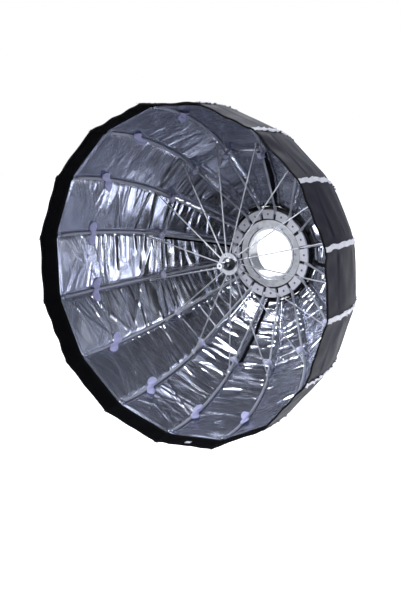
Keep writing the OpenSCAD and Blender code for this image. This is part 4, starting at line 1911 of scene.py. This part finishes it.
@dataclass
class RearCollar:
    """Gathered cloth round the base ring, where every gore ends."""

    paint: Paints
    inner: float = 114.35
    outer: float = 116.2
    rear: float = 6.3
    front: float = 19.8
    gather: float = 0.9
    rings: int = 480
    seed: int = 77
    slack: float = 1.05

    def build(self) -> Piece:
        """Builds the collar.

        Returns:
            The collar.
        """
        rng = np.random.default_rng(self.seed)
        a = turns(self.rings)
        fold = np.zeros_like(a)
        for number in rng.integers(24, 90, 6):
            fold += np.sin(number * a + rng.uniform(0, 6)) / 6
        rows = []
        section = (
            (self.inner, self.rear, 0), (self.inner, self.front, 0),
            (self.outer, self.front, 0.3), (self.outer, self.front - 3, 1),
            (self.outer, (self.front + self.rear) / 2, 1.4), (self.outer, self.rear + 3, 1),
            (self.outer, self.rear, 0.3),
        )
        for r, s, share in section:
            radius = r + share * self.gather * np.maximum(fold * 2, -0.4)
            rows.append(np.stack([radius * np.cos(a), -s + 0 * a, radius * np.sin(a)], -1) * MM)
        lump = Lump()
        lump.add_tube(np.stack(rows, 1), loop=True)
        mesh = lump.mesh("rear_collar_cloth")
        layer = mesh.uv_layers.new(name="UVMap")
        number = np.array([loop.vertex_index for loop in mesh.loops])
        step = 2 * math.pi * self.outer / self.rings
        uv = cloth_map(number // len(section) * step, number % len(section) * 3)
        layer.data.foreach_set("uv", uv.astype(np.float32).ravel())
        piece = make_object("rear_collar_cloth", mesh, self.paint["lip_nylon"])
        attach(piece, "base")
        stands_for("rear_collar")
        return piece


def paint_hardware(paint: Paints) -> None:
    """Gives every carried-over part its finish."""
    for part in frame["record"]["subparts"]:
        thing = frame["nodes"][part["node"]]
        for socket in thing.material_slots:
            socket.material = paint[part["material_slot"]]


# ---- Studio ----


def turned(axes: Array, place: Sequence[float]) -> Matrix:
    """Matrix of an object that stands at a place with its axes in columns."""
    return Matrix([(*row, p) for row, p in zip(axes, place)] + [(0, 0, 0, 1)])


def spin(angle: float, first: int, second: int) -> Array:
    """Turns by an angle from one axis towards another."""
    made = np.eye(3)
    made[first, first] = made[second, second] = math.cos(angle)
    made[second, first], made[first, second] = math.sin(angle), -math.sin(angle)
    return made


@dataclass(frozen=True)
class SoftLight:
    """A square soft light that points at a target."""

    name: str
    power: float
    size: float
    place: tuple[float, float, float]
    target: tuple[float, float, float] = (0.0, -0.2, -0.2)
    tint: tuple[float, float, float] = (0.92, 0.94, 1.0)

    def build(self) -> None:
        """Makes the light."""
        data = bpy.data.lights.new(self.name, "AREA")
        data.energy, data.size, data.shape = self.power, self.size, "SQUARE"
        data.color = self.tint
        back = unit(np.array(self.place) - np.array(self.target))
        side = unit(np.cross([0.0, 0.0, 1.0], back))
        lamp = bpy.data.objects.new(self.name, data)
        lamp.matrix_world = turned(np.stack([side, np.cross(back, side), back], 1), self.place)
        bpy.context.scene.collection.objects.link(lamp)


LIGHTS = (
    SoftLight("key", 140.0, 1.3, (-1.8, -3.8, 2.4)),
    SoftLight("left", 60.0, 1.2, (-3.5, -3.0, 0.1)),
    SoftLight("front", 22.0, 2.0, (-2.4, -3.9, -0.1)),
    SoftLight("fill", 55.0, 1.6, (3.7, -2.2, 0.3)),
    SoftLight("top", 45.0, 1.6, (-0.7, -0.8, 3.4)),
    SoftLight("floor_wash", 220.0, 5.0, (-2.0, 6.0, 4.0), target=(0.0, 3.0, -1.0)),
)


@dataclass
class Studio:
    """Pale floor, soft lights and the camera, in metres and radians."""

    floor_drop: float = 1.05
    floor_size: float = 24.0
    floor_front: float = 0.7
    yaw: float = 0.5985
    pitch: float = 0.16
    roll: float = 0.0424
    place: tuple[float, float, float] = (1.9679, -3.2277, 0.4951)
    lens: float = 91.1
    ambient: float = 0.5
    dark: float = 0.015
    dusk: tuple[float, float] = (-0.6, 0.1)
    tint: tuple[float, float, float] = (0.85, 0.89, 1.0)

    def build(self) -> None:
        """Builds the floor, the lights, the world and the camera."""
        self.floor()
        for light in LIGHTS:
            light.build()
        self.world()
        self.camera()

    def floor(self) -> None:
        """Makes the floor."""
        half, z = self.floor_size / 2, -self.floor_drop
        front, back = -self.floor_front, self.floor_size
        corners = [(-half, front, z), (half, front, z), (half, back, z), (-half, back, z)]
        mesh = bpy.data.meshes.new("floor")
        mesh.from_pydata(corners, [], [(0, 1, 2, 3)])
        paint = FloorPaint("floor_paint", "#fafafa", 0.75).material()
        make_object("floor", mesh, paint)

    def world(self) -> None:
        """Makes the room: white to look at, dimmer and bluish as a source of light."""
        world = bpy.data.worlds.new("studio")
        bpy.context.scene.world = world
        world.use_nodes = True
        tree = world.node_tree
        tree.nodes.clear()
        seen = add(tree, "ShaderNodeBackground", {0: (1.0, 1.0, 1.0, 1.0), 1: 1.0})
        # The studio is dark in front of the box and pale behind and beside it
        place = add(tree, "ShaderNodeTexCoord")
        way = add(tree, "ShaderNodeSeparateXYZ", {0: place})
        near, far = self.dusk
        shades = {0: way.outputs[1], 1: near, 2: far, 3: self.dark, 4: self.ambient}
        level = add(tree, "ShaderNodeMapRange", shades)
        lit = add(tree, "ShaderNodeBackground", {0: (*self.tint, 1.0), 1: level})
        path = add(tree, "ShaderNodeLightPath")
        sockets = {0: path, 1: lit, 2: seen}
        mix = add(tree, "ShaderNodeMixShader", sockets)
        add(tree, "ShaderNodeOutputWorld", {0: mix})
        bpy.context.scene.view_settings.view_transform = "Standard"

    def camera(self) -> None:
        """Makes the camera."""
        axes = spin(self.roll, 0, 1) @ spin(self.pitch, 1, 2) @ spin(self.yaw, 0, 2)
        data = bpy.data.cameras.new("camera")
        data.lens, data.sensor_width, data.sensor_fit = self.lens, 36.0, "AUTO"
        camera = bpy.data.objects.new("camera", data)
        camera.matrix_world = turned(
            np.stack([axes[:, 0], -axes[:, 2], axes[:, 1]]), self.place
        )
        bpy.context.scene.collection.objects.link(camera)
        bpy.context.scene.camera = camera


def main() -> None:
    """Builds every sub-assembly, then the studio."""
    logging.basicConfig(level=logging.INFO, format="%(name)s: %(message)s")
    paint = {finish.slot: finish.material() for finish in FINISHES}
    paint_hardware(paint)
    canopy = Canopy(paint)
    pieces = canopy.build()
    pieces.append(RearCollar(paint).build())
    lip = FrontLip(canopy)
    for assembly in (SeamTapes(canopy, lip), SeamSleeves(canopy), lip, RibTrim(canopy)):
        made = assembly.build()
        log.info("%s: %d pieces", type(assembly).__name__, len(made))
        pieces += made
    for piece in pieces:
        log.info("%s: %d faces", piece.name, len(piece.data.polygons))
    Studio().build()


if __name__ == "__main__":
    main()
